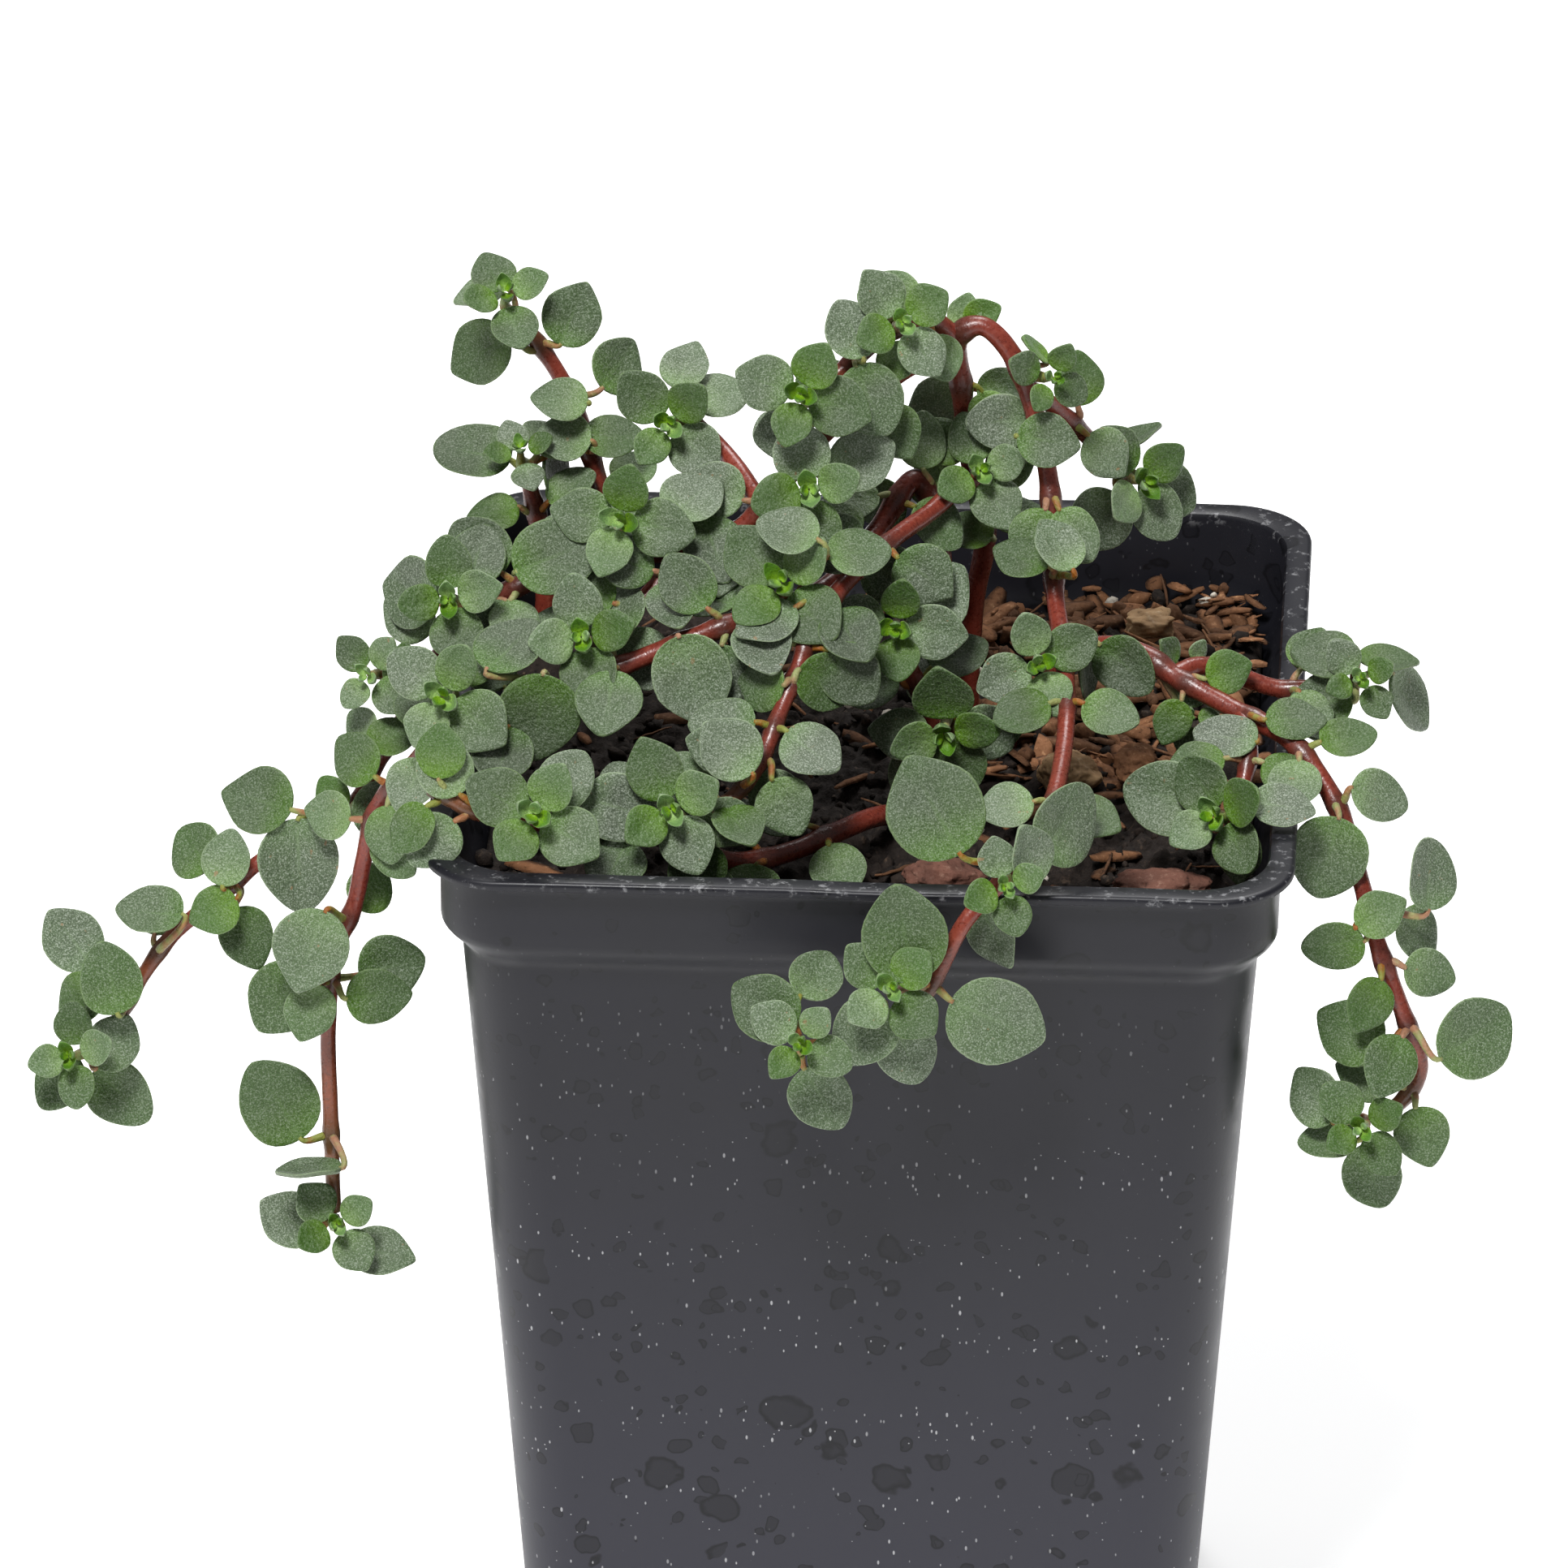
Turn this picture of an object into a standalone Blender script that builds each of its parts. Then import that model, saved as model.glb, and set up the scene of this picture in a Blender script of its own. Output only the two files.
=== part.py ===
"""A trailing pilea in a square plastic nursery pot.

The frame's origin is the centre of the pot's flat base, with +Z up and -Y towards the front.
The plant is written from the rim: heights in its lists are millimetres above the rim, and its plan
widens with the rim, so a larger pot carries a wider plant.
"""

import math
from collections import namedtuple

import bmesh
import bpy
from mathutils import Matrix, Vector
from mathutils.bvhtree import BVHTree

MM = 0.001

# Pot, in millimetres
RIM_WIDTH = 64.0
BASE_WIDTH = 48.0
POT_HEIGHT = 84.0
CORNER_RADIUS = 6.0
WALL = 0.8
FLOOR = 1.2
LIP_HEIGHT = 0.8
LIP_OVERHANG = 1.2
COLLAR_HEIGHT = 5.8
COLLAR_ROUNDING = 3.0
COLLAR_STEP = 1.5
DRAIN_RADIUS = 2.6
DRAIN_INSET = 8.0

# Soil and plant, in millimetres
SOIL_DROP = 7.2
STEM_RADIUS = 0.78
TIP_RADIUS = 0.55
BRANCH_THINNING = 0.93
LEAF_THICKNESS = 0.5
LEAF_SCALE = 1.0
COLLAR_WALL = 0.45
COLLAR_LENGTH = 1.1
GAP = 0.3

RIM_HALF = RIM_WIDTH / 2
DESIGN_RIM_HALF = 32.0
SPREAD = RIM_HALF / DESIGN_RIM_HALF
COLLAR_HALF = RIM_HALF - LIP_OVERHANG
BODY_HALF = COLLAR_HALF - COLLAR_STEP
BODY_TOP = POT_HEIGHT - COLLAR_HEIGHT - COLLAR_ROUNDING

STEM_SIDES = 6
STEM_STEP = 2.6
COLLAR_SIDES = 6

Leaf = namedtuple("Leaf", "reach tip facing length")
Rosette = namedtuple("Rosette", "reach facing size turn")

# Routes of the stems: across, back and above the rim. The first point of a rooted stem stands on the soil.
STEMS = {
    "arch": [
        (6.5, 8, None), (7, 8, 3), (7.8, 8, 9), (6.6, 8, 15.6), (6, 7, 22), (5.8, 6.2, 26.2),
        (7.7, 6, 27.3), (9.9, 5.5, 25.1), (11.5, 4.5, 21.2), (12.6, 3, 17), (13.1, 1, 13.2),
        (13.4, -2, 9.4), (14.4, -8, 6.4), (14.7, -14, 4.1), (14.2, -22, 3), (13, -29, 2.5),
        (11.1, -32.5, 1.8), (8.2, -35, -0.7), (5.8, -36, -5.4), (3.6, -36.5, -8.1),
        (0.7, -37, -9.6), (-2.9, -37.5, -10.1),
    ],
    "centre": [
        (4.5, 4.5, None), (5, 4.5, 4), (4.2, 4.3, 12), (2.6, 4.2, 15.3), (0, 1, 12.6),
        (-3.3, -5, 11.1), (-7.3, -9, 10.7), (-10.8, -11, 10.5), (-16.2, -12, 8.5),
        (-22.1, -13, 6.3), (-27.5, -14, 4.3), (-31.8, -15, 2.2), (-34.8, -13, -2),
        (-36.6, -12.5, -5), (-37.5, -12.5, -9), (-38.2, -13, -12.5), (-39.7, -14, -16.5),
        (-40.2, -14, -22.7), (-40.1, -14.5, -28), (-40, -15, -31.5), (-39.9, -15, -37.5),
    ],
    "right": [
        (9.6, 5, None), (12.7, 2, -0.9), (15.9, -2, 4.7), (19.6, -5, 6.2), (22.7, -7, 5.1),
        (27.6, -10, 3.8), (31.5, -13, 3), (34.8, -16, -0.5), (36.6, -18, -5.3),
        (38.2, -20, -10.3), (40.1, -21, -15.2), (41.4, -21, -19.5), (40, -21.5, -22.3),
        (38, -22, -23.2),
    ],
    "back_left": [
        (-20.1, 22, None), (-20.7, 22, -1.8), (-21.6, 22, 3.3), (-22.6, 22.5, 7.2),
        (-23.7, 23, 10.7), (-25, 23.5, 13.5), (-26.6, 24, 15.9), (-28.1, 24, 17.8),
    ],
    "back": [(-26, 19, None), (-26, 19, -0.4), (-26.5, 20, 2.8), (-27.1, 20.5, 5.3), (-27.4, 21, 6.4)],
    "low": [
        (2.3, -8, None), (0.1, -13, -4.2), (-5.4, -18, -4.4), (-9.7, -20.5, -4), (-15.3, -22.5, -1),
        (-22, -25, 1.2), (-27.3, -26, 2.3), (-31.4, -26, 4.4),
    ],
    "front": [(5, -3, None), (5, -4, -3), (3.5, -4.5, 2), (2, -5, 6.5)],
}

# Side shoots that grew out of a rooted stem: the stem, and the route from a point inside it.
BRANCHES = {
    "top_left": ("arch", [
        (5.8, 6.2, 26.2), (3.4, 5, 28.4), (0.8, 3, 28.1), (-1.8, 1, 26.7), (-4.4, -1, 24.9),
    ]),
    "left": ("arch", [
        (5.8, 6.4, 25.6), (1.6, 4, 24.3), (-3.6, 0, 21.4), (-7.1, -2, 17.6), (-10.4, -3, 14.3),
        (-15.4, -4, 13.1), (-20.2, -5, 12.4), (-25.3, -6, 11.3), (-28.6, -6, 9.3), (-31.8, -6, 5.5),
        (-33.9, -7, 1.7), (-36.4, -8, -2.5), (-38.7, -9, -6.8), (-41.6, -9, -8.2),
        (-45.5, -10, -10.7), (-48.5, -11, -13.2), (-51.8, -12, -15.9), (-54, -13, -18.8),
        (-55.8, -13, -22.3), (-57.6, -13, -24.8),
    ]),
    "left_front": ("arch", [(-10.4, -3, 14.3), (-14.7, -6, 12.4), (-17.6, -8, 10.3), (-20, -9, 8.4)]),
    "left_back": ("arch", [(-8.4, -2.3, 16.2), (-10.2, 0.5, 17.6), (-12, 3, 18.6), (-13.5, 4.2, 19.5)]),
    "middle": ("arch", [
        (7.5, 8, 12.5), (6.4, 4.5, 15), (3.9, 1, 14.2), (1.4, -3, 14), (-2, -8, 12.7),
        (-4.2, -12, 10.7), (-5, -14, 9), (-6.3, -17, 6.5), (-7.6, -20, 4), (-9.6, -22, 2),
        (-12, -23, 0.7),
    ]),
    "right_back": ("arch", [(10.9, 4.9, 23), (12.4, 7, 20.7), (14.8, 9, 17.4), (17.5, 11, 13.4)]),
    "right_side": ("right", [(22.4, -6.8, 5.2), (24.8, -5.2, 5.2), (29.9, -5, 3.4), (32.9, -5, 3.5), (35, -5, 3.8)]),
    "right_low": ("right", [(27.6, -10, 3.8), (28.2, -13.5, 2.4), (27.5, -17, -0.4)]),
    "front_low": ("front", [(5, -4, -3), (5.6, -6.5, -0.8), (5.7, -8, 1.5)]),
}

FRONT = (0, -2, 1)
UP = (0, -1, 2)
LEFT = (-1, -2, 1)
RIGHT = (1, -2, 1)

# Leaf whorls: the route and the place along it, counted in its points, then the leaves and rosettes.
WHORLS = {
    "arch_top": ("arch", 4.0, [
        Leaf((-2.1, 2, -2.6), (-1, 0, -0.6), FRONT, 4.6), Leaf((2.6, 2, -1.1), (1, 0, 0.3), UP, 4.2),
        Leaf((-1.5, 1.6, 1), (-1, 0, 2), FRONT, 2.8), Leaf((1.8, 1.6, -2.6), (1, 0, -2), RIGHT, 3.6),
    ]),
    "arch_middle": ("arch", 3.2, [
        Leaf((-1.8, -2, 1.3), (-1, 0, 1), (0, -2, 1.6), 4.2), Leaf((-2.8, -2, -2), (-1, 0, -1), LEFT, 3.2),
        Rosette((0.9, -2.6, -1.9), (0.3, -2, 1), 4.2, 20), Leaf((3.2, 1.6, 0.4), (1, 0, 0.6), RIGHT, 4.4),
    ]),
    "arch_right": ("arch", 8.4, [
        Leaf((0.9, -2, 1.2), (1, 0, -0.2), (0.2, -1, 1.2), 4.8), Leaf((-2.5, 1.6, 0), (-1, 0, 0), FRONT, 4.8),
    ]),
    "arch_drop": ("arch", 10.8, [
        Leaf((-2.4, -1.5, 2.7), (-1, 0, 1), UP, 4.6), Leaf((0.7, -1.9, 3.2), (0.6, 0, 1), (0.4, -1, 1), 4.6),
    ]),
    "arch_foot": ("arch", 11.7, [
        Rosette((-1.8, -2.2, -0.8), FRONT, 4.4, 75), Leaf((2.1, 0, -2.4), (0.3, 0, -1), (3, -1, 0.4), 4.6),
        Leaf((4.2, 0, -2.8), (0.7, 0, -1), FRONT, 5.2),
    ]),
    "front_rim": ("arch", 16.0, [
        Leaf((-5.4, 0.9, 5.2), (-0.5, 0, 1), (0, -2, 1.1), 8.2), Leaf((0.1, -1.3, 3.4), (0.1, 0, 1), FRONT, 5),
        Leaf((5.3, 0.6, 2.9), (1, 0, 0.4), (0.4, -2, 0.7), 6.6), Leaf((0.6, -1.8, -2.7), (0.2, 0, -1), (0, -2, 0.5), 5.2),
        Rosette((-0.4, -2.7, 0.5), FRONT, 3.2, 20),
    ]),
    "front_end": ("arch", 18.0, [
        Leaf((-2.2, -0.5, 4.7), (-0.2, 0, 1), (-0.2, -2, 0.8), 7.2), Leaf((4.9, -0.6, -2.7), (1, 0, -0.5), (0.3, -2, 0.4), 7.8),
        Rosette((-2.9, -1.6, 0.2), (0, -2, 1.4), 4, 40),
    ]),
    "front_tip": ("arch", 21.0, [
        Leaf((-2.6, -0.4, 3.6), (-0.8, 0, 1), (-0.4, -2, 0.8), 5.6), Leaf((1.3, -0.2, 4.9), (0.4, 0, 1), (0.8, -2, 0.8), 4.8),
        Leaf((1.4, -0.5, -3), (0.6, 0, -1), (0, -2, 0.5), 5.4), Rosette((0, -1.6, 1.4), (-0.3, -2, 1), 3.6, 60),
    ]),
    "top_left_crown": ("top_left", 1.8, [
        Rosette((0.3, -1.8, 1.2), (0.4, -2, 1.2), 4, 30), Leaf((-1.5, 1.1, 2.3), (-0.2, 0, 1), (0, -1, 1.4), 3.6),
    ]),
    "top_left_middle": ("top_left", 3.0, [
        Leaf((-0.1, -1.1, 3), (-0.2, 0, 1), (0, -2, 1.2), 4.8), Leaf((1.4, -2.2, -1.8), (1, 0, -0.6), (0.3, -2, 0.8), 5.8),
        Leaf((3.4, 0.3, 0.4), (1, 0, 0.2), RIGHT, 3.6),
    ]),
    "top_left_tip": ("top_left", 4.0, [
        Rosette((-0.4, -1.4, 1.3), FRONT, 4.6, 70), Leaf((-1.8, -0.4, -2.2), (-0.7, 0, -1), LEFT, 5),
    ]),
    "left_upper": ("left", 2.5, [
        Rosette((0.8, -2.9, -1), FRONT, 4.8, 10), Leaf((4.4, -1.6, 1), (1, 0, 0.6), FRONT, 5.4),
        Leaf((-1.6, 2.6, 0.8), (-0.6, 1, 0.4), UP, 4.6),
    ]),
    "left_shoot_back": ("left_back", 3.0, [
        Leaf((2.3, 0.6, 1.8), (1, 0, 0.8), UP, 4.6), Rosette((-1.4, -2, 0.4), FRONT, 4.4, 50),
        Leaf((0.2, 2.4, 3.2), (0.2, 0, 1), UP, 4.4),
    ]),
    "left_crest": ("left", 5.05, [
        Leaf((2.4, 0.3, 4.6), (0.4, 0, 1), UP, 5.2), Leaf((2.9, -2.3, 0), (0.2, 0, -1), FRONT, 5.6),
    ]),
    "left_crest_end": ("left", 5.7, [
        Rosette((0.3, -1.2, 3.9), (-0.2, -2, 1), 4.8, 80), Leaf((-0.4, 2.6, 1.4), (-0.2, 1, 0.4), UP, 4.6),
    ]),
    "left_bend": ("left", 6.5, [
        Leaf((-0.4, -2.2, 2.6), (0.9, 0, 0.5), (0, -2, 1.5), 6.8), Leaf((0.3, 2.6, 1.2), (0.3, 1, 0.4), UP, 5),
    ]),
    "left_shoulder": ("left", 8.2, [
        Rosette((-1.9, -2.2, 2.2), FRONT, 4.4, 10), Leaf((0.1, 0.2, 5), (0.2, 0, 1), (0.2, -1, 1.4), 5.2),
        Leaf((-5.3, 0.3, 1), (-1, 0, 0.2), (-0.6, -1, 0.4), 5.8),
    ]),
    "left_trail": ("left", 12.8, [
        Leaf((-1.4, -2.2, -2.4), (0.3, 0, -1), (0.1, -2, 0.8), 7.2), Leaf((-4.8, -0.4, 2.1), (-1, 0, 0.8), (-0.2, -1, 1), 5.8),
    ]),
    "left_trail_middle": ("left", 14.6, [
        Leaf((-0.2, -1.6, 2.7), (0.1, 0, 1), FRONT, 4.4), Leaf((-3.2, 0.3, 2.5), (-1, 0, 1), (-0.6, -1, 0.8), 4.8),
        Leaf((-1, -2.1, -0.6), (-1, 0, -0.6), FRONT, 4), Leaf((0.7, -1.2, -3.6), (0.3, 0, -1), (0.2, -2, 0.8), 5),
    ]),
    "left_trail_end": ("left", 17.6, [
        Leaf((-1.4, -1.6, 2.6), (0, 0, 1), FRONT, 5.6), Leaf((-3.9, -0.2, -0.1), (-1, 0, -1), LEFT, 4.4),
        Leaf((-5, 0.6, 3.9), (-0.8, 0, 1), (0.4, -1, 0.6), 5.4),
    ]),
    "left_tip": ("left", 19.0, [
        Rosette((-0.6, -1.2, 0.3), (-0.6, -2, 1), 3.6, 20), Leaf((1.9, -1, 1.9), (0.8, 0, 1), RIGHT, 4.6),
        Leaf((-2.3, -0.8, -1.9), (-0.6, 0, -1), LEFT, 5), Leaf((2.2, -0.4, -3.7), (1, 0, -1), FRONT, 5.6),
    ]),
    "left_front_tip": ("left_front", 3.0, [
        Rosette((0, -1.4, 0.8), FRONT, 4.6, 20), Leaf((1.4, -0.8, -2.8), (0.5, 0, -1), FRONT, 4.8),
        Leaf((-2.6, -0.3, 1.6), (-1, 0, 0.6), UP, 4.6),
    ]),
    "centre_crown": ("centre", 5.6, [
        Rosette((0.1, -2.8, 1.5), (0.1, -2, 1.1), 5.2, 50), Leaf((-0.6, -0.8, 4.2), (-0.4, 0, 1), UP, 4.8),
        Leaf((3.4, -1.2, 3.6), (1, 0, 1), UP, 4.8), Leaf((-3.6, -1.4, -0.8), (-1, 0, -0.6), LEFT, 5),
    ]),
    "centre_left": ("centre", 7.6, [
        Leaf((1.1, -2.2, -1.9), (0.3, 0, -1), (0, -2, 1.1), 6.8), Leaf((0.6, 2.3, -1.4), (0.4, 1, -0.6), UP, 5),
    ]),
    "centre_fall": ("centre", 9.2, [
        Leaf((-0.8, -2.4, 0), (-0.1, 0, -1), (0, -2, 1.1), 6.6), Leaf((-2.8, -1.6, 4.1), (0.4, 0, 1), (0, -1, 1.2), 6),
    ]),
    "centre_rim": ("centre", 10.4, [
        Rosette((-1.6, -1.9, 3.3), (-0.2, -2, 1.2), 4.8, 60), Leaf((0.4, 1.6, 4.4), (0.3, 0, 1), UP, 4.2),
        Leaf((1.8, -2.4, 1), (1, 0, -0.4), FRONT, 4.8),
    ]),
    "centre_hang": ("centre", 15.3, [
        Leaf((-2.6, -3.4, -1), (-0.3, 0, -1), (-0.1, -2, 0.9), 6.6), Leaf((1.4, 2.4, 1.2), (0.6, 0.6, 1), RIGHT, 4),
    ]),
    "centre_hang_middle": ("centre", 16.3, [
        Leaf((-3.8, 0, -1.9), (-1, 0, -0.4), (-0.2, -2, 0.9), 6), Leaf((-1.4, -2.5, -1.6), (-0.3, 0, -1), FRONT, 4.6),
        Leaf((3.7, -1.2, -0.8), (1, 0, 0.1), (0.2, -2, 0.8), 5), Leaf((4.5, 1.4, 0.4), (1, 0, 0.3), (0.4, -2, 1), 5.2),
    ]),
    "centre_hang_low": ("centre", 18.9, [
        Leaf((-4.1, 0, 2.7), (-0.6, 0, 1), (0.1, -2, 0.9), 6.8), Leaf((-1.5, -1.4, -2.7), (-0.6, 0, 1), UP, 5),
    ]),
    "centre_tip": ("centre", 20.0, [
        Leaf((-3, -0.3, 0.2), (-1, 0, 0.4), (0.4, -1, 1), 5), Leaf((2.6, -0.9, -1.4), (1, 0, -0.3), UP, 5.2),
        Rosette((0.1, -1.2, 0.4), (0.2, -1, 1.2), 3.4, 30),
    ]),
    "middle_low": ("middle", 8.6, [
        Leaf((-1, -0.8, 3.6), (-0.8, 0, 1), (0.3, -2, 1.2), 5.2), Leaf((2.2, 0.8, -1.2), (1, 0, -0.6), FRONT, 4.4),
    ]),
    "middle_tip": ("middle", 10.0, [
        Rosette((-1.1, -1.2, 2.1), FRONT, 4.8, 30), Leaf((3.1, -0.6, 1.1), (1, 0, 0.2), RIGHT, 4.4),
        Leaf((0.5, -1.4, -2), (0.3, 0, -1), (0.5, -2, 0.4), 5),
    ]),
    "low_end": ("low", 5.2, [
        Rosette((-0.5, -2.2, 1.1), (0, -2, 1.2), 5, 60), Leaf((1.8, -0.3, 3.4), (0.6, 0, 1), FRONT, 5),
        Leaf((5.2, 0.6, 0.8), (1, 0, -0.3), FRONT, 6.2),
    ]),
    "front_crown": ("front", 3.0, [
        Rosette((0, -1.2, 1.6), FRONT, 4.6, 50), Leaf((2.9, 0.2, 3.2), (0.8, 0, 1), (0, -2, 1.3), 6),
    ]),
    "front_low_tip": ("front_low", 2.0, [
        Rosette((0, -1, 1), FRONT, 4.6, 15), Leaf((3.1, -0.6, -1.1), (1, 0, -0.6), RIGHT, 4.8),
    ]),
    "right_low_tip": ("right_low", 2.0, [
        Rosette((0, -1.4, 0.7), (0, -2, 1.2), 4.6, 60), Leaf((-5.2, -0.4, 2.1), (-1, 0, 0.4), FRONT, 6.2),
        Leaf((3.2, -2.4, 2.4), (1, 0, 0.3), UP, 4.8), Leaf((0.7, -2, -1.6), (0.1, 0, -1), FRONT, 4.6),
    ]),
    "right_rim": ("right", 7.0, [
        Leaf((-0.9, -2.6, -2.4), (-0.3, 0, -1), (-0.2, -2, 0.8), 6.4), Leaf((2.6, 0.2, 0.6), (1, 0, -0.2), (0.6, -1, 1), 4.8),
    ]),
    "right_hang": ("right", 8.5, [
        Leaf((0.9, -1.9, 1), (0.4, 0, 1), FRONT, 4.2), Leaf((4, 0.4, 2.8), (0.4, 0, 1), (1, -1, 0.4), 5.4),
        Leaf((3.9, -0.5, -1.5), (0.8, 0, -1), RIGHT, 4.6), Leaf((-1.9, -1.3, -0.6), (-1, 0, -0.2), FRONT, 4.8),
    ]),
    "right_end": ("right", 10.2, [
        Leaf((-4.4, -1, 0), (-1, 0, 0.6), (-0.4, -2, 1), 5.6), Leaf((-2.1, -1.9, -1.9), (-0.6, 0, -1), FRONT, 5),
        Leaf((4.5, -0.5, -0.3), (0.6, 0, 1), RIGHT, 6.8),
    ]),
    "right_tip": ("right", 13.0, [
        Leaf((-3.7, -0.4, 2.2), (-1, 0, 1), LEFT, 5), Leaf((-2.6, -1, -1.2), (-1, 0, -0.6), UP, 4.4),
        Leaf((0.7, -1, -3), (0.3, 0, -1), (0, -2, 0.6), 5.4), Rosette((0.4, -2.2, 0.9), FRONT, 3.4, 40),
    ]),
    "right_side_tip": ("right_side", 4.0, [
        Leaf((-2.4, 0, 2.6), (-1, 0, 0.5), UP, 5), Leaf((-2.2, -1.9, -0.3), (-1, 0, -0.3), (0, -2, 1.6), 4.8),
        Leaf((2.4, 0.4, 2.1), (1, 0, 0.1), UP, 4.6), Leaf((3.9, -0.5, -1.9), (0.5, 0, -1), RIGHT, 5.8),
        Rosette((0.4, -1.2, 0.8), (0, -2, 1.4), 3, 30),
    ]),
    "right_back_tip": ("right_back", 3.0, [
        Rosette((0.5, -1.4, 0.3), RIGHT, 4.4, 25), Leaf((-1.8, -1, -3.7), (-0.6, 0, -1), FRONT, 5.2),
        Leaf((3.5, 0, -1.6), (1, 0, -0.6), RIGHT, 5.2), Leaf((0.7, 1, 2.4), (0.4, 0, 1), UP, 4.8),
    ]),
    "back_left_middle": ("back_left", 4.4, [
        Leaf((-1, -1.3, 0.6), (-1, 0, 0.4), UP, 4.4), Leaf((2.6, 0, 2), (1, 0, 1), RIGHT, 4.8),
    ]),
    "back_left_top": ("back_left", 6.0, [
        Leaf((2.6, 0.3, 2.6), (0.4, 0, 1), (0.2, -2, 1), 5.2), Leaf((-4.6, -0.6, -0.6), (-1, 0, -0.6), LEFT, 5.8),
    ]),
    "back_left_tip": ("back_left", 7.0, [
        Rosette((-0.6, -0.8, 1), UP, 3.8, 20), Leaf((-2.7, 0, 1.5), (-1, 0, 0.3), UP, 4),
    ]),
    "back_tip": ("back", 4.0, [
        Leaf((-4, 0, 1.1), (-1, 0, 0), UP, 6.2), Leaf((1.9, 0.2, 2.2), (1, 0, 0.3), UP, 4.8),
        Leaf((2.6, -0.6, -0.6), (1, 0, -0.4), RIGHT, 4.6), Rosette((-0.2, -1.2, 0.6), UP, 2.8, 30),
    ]),
}

# Blade outline along its length: the share of the length and of the full half width
BLADE = ((0.0, 0.1), (0.2, 0.8), (0.5, 1.0), (0.82, 0.74))
BLADE_HALF_WIDTH = 0.47
BLADE_CUP = 0.07
BLADE_DROOP = 0.1
ROSETTE_PAIRS = ((1.0, 14), (0.62, 38))
ROSETTE_LEVEL = 0.75
ROSETTE_HUB = 0.45

# Stones on the soil: across, back, length, width, height, turn in degrees
STONES = {
    "tan_stone": (14.6, -2.5, 5.4, 4.0, 4.0, 20),
    "brown_stone": (19.6, -1.5, 4.4, 3.6, 3.4, 60),
    "lava_stone_left": (6.0, -19.5, 6.0, 4.0, 3.2, 10),
    "lava_stone_right": (22.5, -21.0, 8.0, 4.6, 3.4, -5),
    "bark_chip": (20.0, 21.0, 3.4, 2.8, 2.2, 30),
}


def clear_scene():
    for obj in list(bpy.data.objects):
        bpy.data.objects.remove(obj, do_unlink=True)


def material(name, colour, roughness):
    made = bpy.data.materials.new(name)
    made.use_nodes = True
    shader = made.node_tree.nodes["Principled BSDF"]
    shader.inputs["Base Color"].default_value = (*colour, 1)
    shader.inputs["Roughness"].default_value = roughness
    shader.inputs["Metallic"].default_value = 0.0
    return made


def new_object(name, bm, mat, smooth=True):
    """A named object from a mesh built in millimetres."""
    bmesh.ops.recalc_face_normals(bm, faces=bm.faces)
    if bm.calc_volume(signed=True) < 0:
        bmesh.ops.reverse_faces(bm, faces=bm.faces)
    bmesh.ops.scale(bm, vec=(MM, MM, MM), verts=bm.verts)
    mesh = bpy.data.meshes.new(name)
    bm.to_mesh(mesh)
    mesh.materials.append(mat)
    if smooth:
        mesh.shade_smooth()
    obj = bpy.data.objects.new(name, mesh)
    bpy.context.scene.collection.objects.link(obj)
    return obj


def square_ring(half, corner, z, segments=4):
    """Points of a square with round corners, seen from above, all at one height."""
    points = []
    for quarter in range(4):
        middle = math.radians(45 + 90 * quarter)
        cx = math.copysign(half - corner, math.cos(middle))
        cy = math.copysign(half - corner, math.sin(middle))
        for step in range(segments + 1):
            angle = math.radians(90 * quarter + 90 * step / segments)
            points.append(Vector((cx + corner * math.cos(angle), cy + corner * math.sin(angle), z)))
    return points


def loft(bm, rings):
    """Skins closed rings of equal length, and returns the rings of vertices."""
    made = [[bm.verts.new(point) for point in ring] for ring in rings]
    for low, high in zip(made, made[1:]):
        count = len(low)
        for i in range(count):
            j = (i + 1) % count
            bm.faces.new((low[i], low[j], high[j], high[i]))
    return made


def body_half(z):
    """Half the pot's outside width on its tapering body."""
    return BASE_WIDTH / 2 + (BODY_HALF - BASE_WIDTH / 2) * z / BODY_TOP


def corner_at(half):
    return CORNER_RADIUS * half / RIM_HALF


def pot_wall_profile():
    """Outside of the pot from its base to the lip: height and half width."""
    top = POT_HEIGHT
    collar_low = top - COLLAR_HEIGHT
    return [
        (0, BASE_WIDTH / 2 - 0.8), (0.8, body_half(0.8)), (BODY_TOP, BODY_HALF),
        (BODY_TOP + 0.45 * COLLAR_ROUNDING, BODY_HALF + 0.55 * COLLAR_STEP),
        (collar_low - 0.25 * COLLAR_ROUNDING, COLLAR_HALF - 0.12 * COLLAR_STEP), (collar_low, COLLAR_HALF),
        (top - LIP_HEIGHT, COLLAR_HALF), (top - LIP_HEIGHT, RIM_HALF), (top - 0.25 * LIP_HEIGHT, RIM_HALF),
        (top, RIM_HALF - 0.3),
    ]


def inner_half(z):
    """Half the pot's inside width at a height."""
    collar_low = POT_HEIGHT - COLLAR_HEIGHT
    if z >= collar_low:
        return COLLAR_HALF - WALL
    if z <= BODY_TOP:
        return body_half(z) - WALL
    share = (z - BODY_TOP) / COLLAR_ROUNDING
    return BODY_HALF - WALL + COLLAR_STEP * share


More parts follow.
